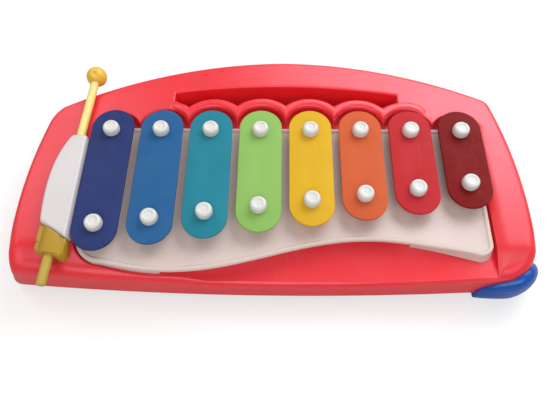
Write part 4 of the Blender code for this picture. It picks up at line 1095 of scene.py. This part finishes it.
@dataclass
class Holder:
    """The mallet's holder: a white cover and a yellow end block, cut to the shaft and to the deck."""

    left: float = -207 * MM
    right: float = -179 * MM
    rear: float = 22.6 * MM
    cover_front_left: float = -67 * MM
    cover_front_right: float = -81.5 * MM
    block_front_left: float = -94 * MM
    block_front_right: float = -97.5 * MM
    top: float = 61 * MM
    shoulder: float = 57.4 * MM
    cover_round: float = 2.75 * MM
    block_round: float = 1.8 * MM
    tuck: float = 2.8 * MM
    hump_wide: float = 2.6 * MM
    hump_ahead: float = 1.2 * MM
    shaft_room: float = 0.6 * MM
    channel_drop: float = 16.5 * MM
    pilot_r: float = 1.9 * MM
    pilot_reach: tuple[float, float] = (30 * MM, 55.5 * MM)
    joint_past: float = 12 * MM
    recess_size: tuple[float, float, float] = (4.5 * MM, 7 * MM, 2 * MM)

    def channel(self) -> Piece:
        """The way for the shaft: a bore opened downwards."""
        radius, low = LINE.shaft_r + self.shaft_room, -self.channel_drop
        section = arc((0, 0), radius, 0, math.pi, 24) + [Vector((-radius, low)), Vector((radius, low))]
        side = Vector((LINE.way.y, -LINE.way.x))
        rings = []
        for spot in (LINE.tail, LINE.ball):
            rings.append([Vector((*(spot + side * p.x), LINE.height + p.y)) for p in section])
        return Bench.loft("channel", rings)

    def cover(self, look: Look) -> None:
        """The white cover: straight beside the bars, bowed outside and narrow at the rear."""
        width, steps = self.right - self.left, 28
        outline = [Vector((self.right, self.cover_front_right)), Vector((self.right, self.rear))]
        for i in range(steps + 1):
            share = i / steps
            bow = width * (0.5 * (1 - share) ** 3.6 + 0.1 * share**4)
            outline.append(Vector((self.left + bow, self.rear + (self.cover_front_left - self.rear) * share)))
        cover = Bench.slab("mallet_cover", outline, LEVELS.apron, self.top)
        Bench.soften(cover, self.cover_round, 6, 50)
        Bench.carve(cover, self.channel(), BODY.seat())
        Bench.carve(cover, upright("pilots", HOLDER_SCREWS, self.pilot_r, *self.pilot_reach, 16))
        Bench.finish(cover, look, TOY, Slot.COVER.value, "holder_cover", 35)

    def joint_line(self) -> list[Vector]:
        """Everything behind the slanted joint between the cover and the block."""
        start = Vector((self.left + self.tuck, self.cover_front_left - LEVELS.gap))
        end = Vector((self.right, self.cover_front_right - LEVELS.gap))
        way = (end - start).normalized() * self.joint_past
        start, end = start - way, end + way
        return [start, end, Vector((end.x, self.rear)), Vector((start.x, self.rear))]

    def block(self, look: Look) -> None:
        """The yellow block: a broad hump over the shaft between lower shoulders, with a recess beside it."""
        left, right, flare, corner = self.left + self.tuck, self.right, 1 * MM, 3 * MM
        outline = [Vector(p) for p in (
            (left - flare, self.cover_front_left), (left - flare, self.block_front_left + corner),
            (left - flare + corner, self.block_front_left), (right - corner - flare, self.block_front_right),
            (right - flare, self.block_front_right + corner), (right, self.cover_front_right),
        )]
        block = Bench.slab("end_block", outline, LEVELS.floor, self.shoulder)
        Bench.soften(block, self.block_round, 5, 50)
        radius = self.top - LINE.height
        start = LINE.point(self.block_front_left - self.hump_ahead)
        length = (LINE.point(self.cover_front_left) - start).length
        profile = [(0, 0), *((radius - drop, inset) for inset, drop in rounding(self.hump_ahead, 4))]
        hump = Bench.turned("hump", profile + [(radius, length), (0, length)], 64)
        swell = Matrix.Diagonal(((radius + self.hump_wide) / radius, 1, 1, 1))
        Bench.place(hump, Vector((*start, LINE.height)), LINE.turn @ swell)
        Bench.carve(block, hump, how="UNION")
        aside, front = start.x - radius - self.hump_wide, self.block_front_left + corner
        wide, deep, down = self.recess_size
        plan = rectangle(aside - wide, aside, front, front + deep)
        recess = Bench.slab("recess", plan, self.shoulder - down, self.shoulder + LEVELS.past)
        trim = Bench.slab("trim", self.joint_line(), 0, self.top + LEVELS.past)
        Bench.carve(block, trim, self.channel(), BODY.seat(), recess)
        Bench.finish(block, look, TOY, Slot.HOLDER.value, "holder_block", 35)


@dataclass
class Feet:
    """The blue feet: one wraps the front right corner, and three pads stand under the others."""

    pad_r: float = 11 * MM
    stem_r: float = 3 * MM
    reach: float = 8.4 * MM
    reach_in: float = 14 * MM
    height: float = 37 * MM
    ahead: float = 24 * MM

    def section(self, share: float) -> list[tuple[float, float]]:
        """The corner foot's (reach out, height) pairs, from its front end at 0 to its rear end at 1."""
        swell = math.sin(math.pi * (0.04 + share * 0.84)) ** 0.4
        rise, reach = self.height * swell, self.reach * swell
        pairs = [(-self.reach_in, 0.0)] + [(reach * out, rise * up) for out, up in FOOT_FACE]
        return pairs + [(-self.reach_in * back, rise * up) for back, up in FOOT_TOP]

    def corner(self, look: Look) -> None:
        """The foot round the front right corner, lofted along the body's rim."""
        rim = BODY.rim()
        across, half = BODY.long_steps, BODY.corner_steps // 2
        way_in = (rim[half + across][0] + rim[half + across + 1][0]) / 2
        first = max(k for k in range(half + across) if rim[k][0].x < way_in.x - self.ahead)
        last = half + across + BODY.corner_steps - 2
        rings = []
        for k in range(first, last + 1):
            spot, way = rim[k]
            pairs = self.section((k - first) / (last - first))
            rings.append([Vector((*(spot - way * out), up)) for out, up in pairs])
        foot = Bench.carve(Bench.loft("corner_foot", rings), BODY.seat())
        Bench.finish(foot, look, TOY, Slot.FOOT.value, "foot_front_right", 45)

    def pads(self, look: Look) -> None:
        """The three round pads, with a tread of rings and a push-in stem."""
        top, r, stem = LEVELS.floor - LEVELS.gap, self.pad_r, self.stem_r
        profile = [(0, 0.6 * MM), (r * 0.3, 0.6 * MM), (r * 0.36, 0), (r * 0.52, 0), (r * 0.56, 0.5 * MM)]
        profile += [(r * 0.66, 0.5 * MM), (r * 0.7, 0), (r * 0.85, 0), (r * 0.94, 0.6 * MM)]
        profile += [(r * 0.985, 1.7 * MM), (r, 3 * MM), (r, top - 0.5 * MM), (r - 0.5 * MM, top), (stem, top)]
        profile += [(stem, top + 6.3 * MM), (stem * 0.7, top + 9 * MM), (0, top + 9 * MM)]
        master = Bench.turned("pad", profile, 40)
        for name, spot in PAD_SPOTS.items():
            made = Bench.place(Bench.copy(master, f"pad_{name}"), Vector((*spot, 0)))
            Bench.finish(made, look, TOY, Slot.FOOT.value, name, 40)
        bpy.data.objects.remove(master)


@dataclass
class Screws:
    """Six cross-head screws that go in from below."""

    radius: float = 1.6 * MM
    core_r: float = 1.6 * 0.78 * MM
    pitch: float = 0.9 * MM
    head_r: float = 3.4 * MM
    head: float = 2.2 * MM
    recess: float = 1.1 * MM
    tray_length: float = 14 * MM
    holder_length: float = 10 * MM

    def screw(self, length: float) -> Piece:
        """A pan-head screw, head down, with a thread and a cross recess."""
        r, core, h, head = self.radius, self.core_r, self.head_r, self.head
        profile = [(0, 0.02 * head), (h * 0.5, 0.05 * head), (h * 0.8, 0.2 * head), (h * 0.95, 0.5 * head)]
        profile += [(h, 0.75 * head), (h, head), (r, head)]
        for k in range(int((length - head - r) / self.pitch)):
            z = head + self.pitch * k
            profile += [(core, z + 0.35 * MM), (core, z + 0.55 * MM), (r, z + self.pitch)]
        profile += [(r * 0.7, length - r * 0.6), (0, length)]
        made = Bench.turned("screw", profile, 24)
        reach, half = h * 0.55, 0.5 * MM
        for angle in (0, math.pi / 2):
            arm = Bench.slab("arm", rectangle(-reach, reach, -half, half), -MM, self.recess)
            Bench.carve(made, Bench.place(arm, Vector(), Matrix.Rotation(angle, 4, "Z")))
        return made

    def build(self, look: Look) -> None:
        """Makes one screw of each length and copies it to its places."""
        sets = (
            ("tray_screw", self.tray_length, ROW.tray_screws(), LEVELS.basin),
            ("holder_screw", self.holder_length, HOLDER_SCREWS, LEVELS.deck),
        )
        for kind, length, spots, floor in sets:
            level = floor - LEVELS.wall - LEVELS.gap - self.head
            master = self.screw(length)
            for i, spot in enumerate(spots):
                made = Bench.copy(master, f"cross_{kind}_{i + 1}")
                Bench.place(made, Vector((*spot[:2], level)), Matrix.Rotation(0.7 + i, 4, "Z"))
                Bench.finish(made, look, TOY, Slot.SCREW.value, f"{kind}_{i + 1}", 35)
            bpy.data.objects.remove(master)


class Graph:
    """A node tree, with short ways to add the nodes that the effects and the finishes are made of."""

    def __init__(self, tree: bpy.types.NodeTree) -> None:
        """Takes the tree to add to."""
        self.tree = tree

    def give(self, slot: Socket, value: object) -> None:
        """Links a socket to an input, or sets the input to a plain value."""
        if isinstance(value, Socket):
            self.tree.links.new(value, slot)
        else:
            slot.default_value = value

    def fill(self, node: bpy.types.Node, inputs: dict[str, object]) -> None:
        """Gives a node's inputs their sockets or values by name."""
        for label, value in inputs.items():
            self.give(node.inputs[label], value)

    def add(self, kind: str, *values: object, **inputs: object) -> bpy.types.Node:
        """Adds a node, and gives its inputs their values, in order or by name."""
        node = self.tree.nodes.new(f"ShaderNode{kind}")
        for slot, value in zip(node.inputs, values):
            self.give(slot, value)
        self.fill(node, inputs)
        return node

    def math(self, how: str, *values: object, hold: bool = False) -> Socket:
        """Adds a Math node between sockets or plain numbers and returns its result."""
        node = self.add("Math")
        node.operation, node.use_clamp = how, hold
        for slot, value in zip(node.inputs, values):
            self.give(slot, value)
        return node.outputs[0]

    def spread(self, value: Socket, low: float, high: float) -> Socket:
        """Maps low..high to 0..1 with soft ends."""
        node = self.add("MapRange", Value=value)
        node.interpolation_type = "SMOOTHSTEP"
        self.fill(node, {"From Min": low, "From Max": high})
        return node.outputs["Result"]

    def noise(self, where: Socket, scale: object, detail: float, rough: float = 0.5) -> Socket:
        """Adds a Noise node and returns its value."""
        return self.add("TexNoise", Vector=where, Scale=scale, Detail=detail, Roughness=rough).outputs["Fac"]

    def blend(self, share: Socket, first: object, second: object) -> Socket:
        """Mixes two colours, given as sockets or as tuples, by a share."""
        node = self.add("Mix")
        node.data_type = "RGBA"
        for slot, value in ((0, share), (6, first), (7, second)):
            self.give(node.inputs[slot], (*value, 1) if isinstance(value, tuple) else value)
        return node.outputs[2]

    def nearness(self, where: Socket, reach: tuple[float, float]) -> Socket:
        """How far a place lies towards the piece's near end: 1 at the first depth and 0 at the second."""
        node = self.add("MapRange", Value=self.add("SeparateXYZ", where).outputs["Y"])
        self.fill(node, {"From Min": reach[1], "From Max": reach[0]})
        return node.outputs["Result"]

    def seen(self, hidden: Socket, shown: Socket) -> Socket:
        """Mixes two shaders: the camera sees the second, and all other light meets the first."""
        share = self.add("LightPath").outputs["Is Camera Ray"]
        return self.add("MixShader", share, hidden, shown).outputs[0]


class Effects:
    """The shader node groups that the finishes share, each built once."""

    def __init__(self) -> None:
        """Builds every group."""
        self.mottle = self.group("broad mottle", self.make_mottle, Scale=20.0, Amount=0.3)
        self.grain = self.group("fine grain", self.make_grain, Scale=900.0, Amount=0.3)
        self.wear = self.group("edge wear", self.make_wear, Amount=0.3)
        self.dust = self.group("settled dust", self.make_dust, Amount=0.1)
        self.scuffs = self.group("hairline scuffs", self.make_scuffs, Amount=0.2)

    @staticmethod
    def group(name: str, make: Callable[..., Socket], **numbers: float) -> bpy.types.NodeTree:
        """Makes a group whose inputs are a place and some numbers and whose output is one number.

        Args:
            name: the group's name.
            make: adds the nodes, given the graph and the inputs in their order, and returns the result.
            numbers: the default of each number.

        Returns:
            The group.
        """
        tree = bpy.data.node_groups.new(name, "ShaderNodeTree")
        tree.interface.new_socket(name="Vector", in_out="INPUT", socket_type="NodeSocketVector")
        for label, value in numbers.items():
            socket = tree.interface.new_socket(name=label, in_out="INPUT", socket_type="NodeSocketFloat")
            socket.default_value = value
        tree.interface.new_socket(name="Result", in_out="OUTPUT", socket_type="NodeSocketFloat")
        inputs, output = tree.nodes.new("NodeGroupInput"), tree.nodes.new("NodeGroupOutput")
        result = make(Graph(tree), *(inputs.outputs[label] for label in ("Vector", *numbers)))
        tree.links.new(result, output.inputs["Result"])
        return tree

    @staticmethod
    def make_mottle(graph: Graph, where: Socket, scale: Socket, amount: Socket) -> Socket:
        """Broad uneven patches, such as in a moulded colour or a sprayed paint."""
        broad = graph.spread(graph.noise(where, scale, 3), 0.35, 0.65)
        finer = graph.noise(where, graph.math("MULTIPLY", scale, 6.0), 2)
        both = graph.math("ADD", broad, graph.math("MULTIPLY", finer, 0.3))
        return graph.math("MULTIPLY", both, amount, hold=True)

    @staticmethod
    def make_grain(graph: Graph, where: Socket, scale: Socket, amount: Socket) -> Socket:
        """The fine skin of moulded plastic or enamel, as a height."""
        fine = graph.noise(where, scale, 2, 0.6)
        wave = graph.noise(where, graph.math("MULTIPLY", scale, 0.05), 1)
        return graph.math("MULTIPLY", graph.math("ADD", fine, graph.math("MULTIPLY", wave, 1.6)), amount)

    @staticmethod
    def make_wear(graph: Graph, where: Socket, amount: Socket) -> Socket:
        """Rubbed edges: where the rounded normal leaves the true one, broken up by noise."""
        bevel = graph.add("Bevel", Radius=0.9 * MM)
        bevel.samples = 4
        shape = graph.add("NewGeometry")
        dot = graph.add("VectorMath", bevel.outputs["Normal"], shape.outputs["Normal"])
        dot.operation = "DOT_PRODUCT"
        turned = graph.spread(graph.math("SUBTRACT", 1.0, dot.outputs["Value"]), 0.02, 0.16)
        breakup = graph.spread(graph.noise(where, 260.0, 4, 0.65), 0.4, 0.66)
        rubbed = graph.math("MULTIPLY", turned, graph.math("ADD", breakup, 0.25))
        return graph.math("MULTIPLY", rubbed, amount, hold=True)

    @staticmethod
    def make_dust(graph: Graph, where: Socket, amount: Socket) -> Socket:
        """Fine dust on what faces upwards, in soft patches."""
        shape = graph.add("NewGeometry")
        up = graph.spread(graph.add("SeparateXYZ", shape.outputs["Normal"]).outputs["Z"], 0.2, 0.95)
        patch = graph.spread(graph.noise(where, 34.0, 6, 0.7), 0.42, 0.72)
        speck = graph.spread(graph.noise(where, 1500.0, 1), 0.62, 0.75)
        both = graph.math("ADD", graph.math("MULTIPLY", patch, 0.6), graph.math("MULTIPLY", speck, 0.5))
        return graph.math("MULTIPLY", graph.math("MULTIPLY", up, both), amount, hold=True)

    @staticmethod
    def make_scuffs(graph: Graph, where: Socket, amount: Socket) -> Socket:
        """Short hairline scuffs in two directions."""
        lines = []
        for angle, scale in ((0.5, (60.0, 1500.0, 60.0)), (2.1, (1300.0, 50.0, 50.0))):
            turn = graph.add("Mapping", Vector=where, Rotation=(0, 0, angle), Scale=scale)
            lines.append(graph.spread(graph.noise(turn.outputs["Vector"], 1.0, 1), 0.68, 0.76))
        patch = graph.spread(graph.noise(where, 25.0, 2), 0.45, 0.65)
        both = graph.math("MULTIPLY", graph.math("MAXIMUM", *lines), patch)
        return graph.math("MULTIPLY", both, amount, hold=True)


@dataclass
class Wardrobe:
    """Turns finishes into materials, each made once."""

    effects: Effects
    made: dict[str, Look] = field(default_factory=dict)
    dust_color: Color = (0.62, 0.58, 0.54)
    glow_depth: float = 10 * MM

    @staticmethod
    def effect(graph: Graph, group: bpy.types.NodeTree, where: Socket, **values: float) -> Socket:
        """Places a group in a material with its own values and returns its output."""
        node = graph.add("Group")
        node.node_tree = group
        graph.fill(node, {"Vector": where, **values})
        return node.outputs[0]

    def material(self, look: Finish) -> Look:
        """The material of a finish."""
        if look.name in self.made:
            return self.made[look.name]
        made = self.made[look.name] = bpy.data.materials.new(look.name)
        made.use_nodes = True
        made.diffuse_color = (*look.color, 1)
        graph, effects = Graph(made.node_tree), self.effects
        where = graph.add("TexCoord").outputs["Object"]
        mottle = self.effect(graph, effects.mottle, where, Scale=look.mottle_scale, Amount=look.mottle)
        grain = self.effect(graph, effects.grain, where, Scale=look.grain_scale, Amount=look.grain)
        wear = self.effect(graph, effects.wear, where, Amount=look.wear)
        dust = self.effect(graph, effects.dust, where, Amount=look.dust)
        scuffs = self.effect(graph, effects.scuffs, where, Amount=look.scuffs)
        color = graph.blend(mottle, look.color, look.deep)
        # Painted shade: the tail colour darkens the piece towards its near end.
        if look.tail:
            color = graph.blend(graph.nearness(where, look.painted_tail_shade_reach), color, look.tail)
        for mask, over in ((wear, look.wear_color), (scuffs, look.wear_color), (dust, self.dust_color)):
            color = graph.blend(mask, color, over)
        rough = look.rough
        for mask, share in ((mottle, look.rough_spread), (wear, 0.2), (dust, 0.5), (scuffs, 0.25)):
            rough = graph.math("MULTIPLY_ADD", mask, share, rough)
        height = graph.math("SUBTRACT", grain, graph.math("MULTIPLY", scuffs, 0.5))
        bump = graph.add("Bump", Strength=0.35, Distance=look.bump, Height=height)
        graph.fill(made.node_tree.nodes["Principled BSDF"], {
            "Base Color": color, "Roughness": rough, "Normal": bump.outputs["Normal"],
            "Subsurface Weight": look.glow, "Subsurface Radius": look.glow_reach,
            "Subsurface Scale": self.glow_depth, "Metallic": look.metallic, "IOR": look.ior,
            "Specular IOR Level": look.specular, "Specular Tint": (*look.gleam, 1),
        })
        return made


@dataclass
class Studio:
    """The camera at the photograph's angle, the lamps and the pale floor."""

    place: Vector = field(default_factory=lambda: Vector((0.0085, -0.2475, 0.4459)))
    pitch: float = 63.23
    roll: float = -0.84
    turn: float = 1.4
    sensor: float = 36
    lens: float = 500 / 550 * 36
    surround: float = 0.30
    floor_glow: float = 0.44

    def camera(self) -> None:
        """Makes the camera."""
        Bench.clear()
        bpy.ops.object.camera_add(location=self.place)
        made = bpy.context.object
        made.name = "photo_camera"
        pitch, roll = math.radians(self.pitch), math.radians(self.roll)
        ahead = Vector((0, math.cos(pitch), -math.sin(pitch)))
        right = Vector((1, 0, 0))
        up = right.cross(ahead)
        side = right * math.cos(roll) + up * math.sin(roll)
        top = up * math.cos(roll) - right * math.sin(roll)
        frame_turn = Matrix((side, top, -ahead)).transposed().to_4x4()
        around = Matrix.Rotation(math.radians(self.turn), 4, "Z")
        made.matrix_world = Matrix.Translation(self.place) @ around @ frame_turn
        made.data.sensor_width = self.sensor
        made.data.lens = self.lens
        made.data.clip_start = 0.01
        bpy.context.scene.camera = made

    @staticmethod
    def lamp(name: str, at: Color, aim: Color, size: tuple[float, float], power: float, color: Color) -> None:
        """Adds a soft rectangular lamp.

        Args:
            name: the lamp's name.
            at: where it hangs.
            aim: what it points at.
            size: its width and height.
            power: its power in watts.
            color: its colour.
        """
        Bench.clear()
        bpy.ops.object.light_add(type="AREA", location=at)
        made = bpy.context.object
        made.name = name
        made.data.shape = "RECTANGLE"
        made.data.size, made.data.size_y = size
        made.data.energy = power
        made.data.color = color
        made.rotation_euler = (Vector(aim) - Vector(at)).to_track_quat("-Z", "Y").to_euler()

    def floor(self) -> None:
        """Lays the pale floor, which shows as near white and keeps the shadow."""
        Bench.clear()
        bpy.ops.mesh.primitive_plane_add(size=9, location=(0, 0, -0.0002))
        made = bpy.context.object
        made.name = "studio_floor"
        look = bpy.data.materials.new("floor paper")
        look.use_nodes = True
        graph, nodes = Graph(look.node_tree), look.node_tree.nodes
        paper = nodes["Principled BSDF"]
        graph.fill(paper, {"Base Color": (0.58, 0.58, 0.58, 1), "Roughness": 0.9, "Specular IOR Level": 0.1})
        dark, lit = (graph.add("Emission", Strength=power).outputs[0] for power in (0, self.floor_glow))
        both = graph.add("AddShader", paper.outputs[0], graph.seen(dark, lit))
        graph.give(nodes["Material Output"].inputs["Surface"], both.outputs[0])
        made.data.materials.append(look)

    def world(self) -> None:
        """Sets an even pale surround, white where the camera sees it."""
        made = bpy.data.worlds.new("studio")
        made.use_nodes = True
        graph, nodes = Graph(made.node_tree), made.node_tree.nodes
        graph.fill(nodes["Background"], {"Color": (1.0, 0.985, 0.97, 1), "Strength": self.surround})
        shown = graph.add("Background", Strength=1)
        pick = graph.seen(nodes["Background"].outputs[0], shown.outputs[0])
        graph.give(nodes["World Output"].inputs["Surface"], pick)
        bpy.context.scene.world = made

    def build(self) -> None:
        """Sets up everything."""
        bpy.context.scene.view_settings.view_transform = "Standard"
        self.camera()
        self.world()
        self.floor()
        for lamp in (
            ("window_behind", (0.40, 0.80, 0.74), (0.0, 0.05, 0.0), (0.9, 0.65), 6.7, (0.95, 0.98, 1.0)),
            ("window_right", (0.72, 0.52, 0.80), (0.1, 0.0, 0.0), (0.8, 0.8), 4.9, (0.90, 0.95, 1.0)),
            ("window_left", (-0.66, 0.50, 0.76), (-0.1, 0.0, 0.0), (0.6, 0.6), 2.3, (1.0, 0.98, 0.95)),
            ("room_front", (0.03, -0.78, 0.95), (0.0, 0.0, 0.0), (1.4, 0.7), 8.4, (1.0, 0.98, 0.97)),
        ):
            self.lamp(*lamp)


RED_PLASTIC = Finish(
    "red plastic", (0.855, 0.022, 0.030), (0.778, 0.016, 0.022), 0.33, mottle=0.3, specular=0.8,
    gleam=(0.75, 0.84, 1.0), wear=0.3, wear_color=(0.95, 0.30, 0.32), dust=0.04, scuffs=0.12, glow=0.6,
    glow_reach=(0.6, 0.06, 0.06),
)
TRAY_PLASTIC = Finish(
    "cream tray plastic", (0.662, 0.534, 0.495), (0.613, 0.476, 0.434), 0.42, mottle=0.5,
    wear_color=(0.9, 0.86, 0.82),
)
PEG_PLASTIC = Finish(
    "white peg plastic", (0.688, 0.681, 0.656), (0.648, 0.633, 0.601), 0.30, mottle=0.4, mottle_scale=90,
    wear_color=(0.93, 0.92, 0.9), dust=0.04,
)
SOFT_RUBBER = Finish(
    "soft grommet rubber", (0.052, 0.050, 0.048), (0.038, 0.036, 0.034), 0.7, mottle=0.5, mottle_scale=120,
    wear_color=(0.16, 0.155, 0.15),
)
# The shaft's tail colour is painted shade on its end in front of the block.
SHAFT_PLASTIC = Finish(
    "pale yellow shaft plastic", (0.890, 0.706, 0.237), (0.820, 0.627, 0.171), 0.32, mottle=0.4,
    mottle_scale=30, wear_color=(0.9, 0.82, 0.55), tail=(0.500, 0.350, 0.050),
)
BALL_PLASTIC = Finish(
    "yellow ball plastic", (0.826, 0.492, 0.043), (0.751, 0.410, 0.029), 0.29, mottle=0.4, mottle_scale=60,
    wear_color=(0.9, 0.78, 0.45),
)
COVER_PLASTIC = Finish(
    "white cover plastic", (0.648, 0.606, 0.618), (0.609, 0.564, 0.559), 0.32, mottle=0.4,
    wear_color=(0.93, 0.9, 0.86),
)
BLOCK_PLASTIC = Finish(
    "yellow block plastic", (0.455, 0.256, 0.006), (0.387, 0.204, 0.004), 0.36, mottle=0.45, mottle_scale=40,
    wear_color=(0.86, 0.7, 0.3),
)
FOOT_PLASTIC = Finish(
    "blue foot plastic", (0.002, 0.082, 0.406), (0.002, 0.062, 0.330), 0.22, mottle=0.4, mottle_scale=60,
    wear=0.2, wear_color=(0.2, 0.36, 0.62), dust=0.03, specular=0.45,
)
STEEL = Finish(
    "zinc screw steel", (0.62, 0.61, 0.58), (0.5, 0.48, 0.44), 0.32, metallic=1.0, mottle=0.5,
    mottle_scale=300, wear_color=(0.8, 0.8, 0.78), dust=0.05,
)


def paint(shade: Paint) -> Finish:
    """The sprayed enamel of a bar: satin, slightly uneven, with paler rubbed edges."""
    _, lit, deep = shade.value
    pale = tuple(0.55 * c + 0.45 * 0.62 for c in lit)
    return Finish(
        f"{shade.name.lower()} bar enamel", lit, deep, 0.5, rough_spread=0.1, grain=0.5, grain_scale=520,
        mottle_scale=22, scuffs=0.15, wear_color=pale, dust=0.02, specular=0.08,
    )


def main() -> None:
    """Builds the pieces in order, dresses them and sets up the studio."""
    logging.basicConfig(level=logging.INFO, format="%(name)s: %(message)s")
    wardrobe = Wardrobe(Effects())
    Studio().build()
    BODY.build(wardrobe.material(RED_PLASTIC))
    TRAY.build(wardrobe.material(TRAY_PLASTIC))
    enamels = [wardrobe.material(paint(shade)) for shade in Paint]
    Bars().build(enamels, wardrobe.material(PEG_PLASTIC), wardrobe.material(SOFT_RUBBER))
    Mallet().build(wardrobe.material(SHAFT_PLASTIC), wardrobe.material(BALL_PLASTIC))
    holder = Holder()
    holder.cover(wardrobe.material(COVER_PLASTIC))
    holder.block(wardrobe.material(BLOCK_PLASTIC))
    feet = Feet()
    feet.corner(wardrobe.material(FOOT_PLASTIC))
    feet.pads(wardrobe.material(FOOT_PLASTIC))
    Screws().build(wardrobe.material(STEEL))


if __name__ == "__main__":
    main()
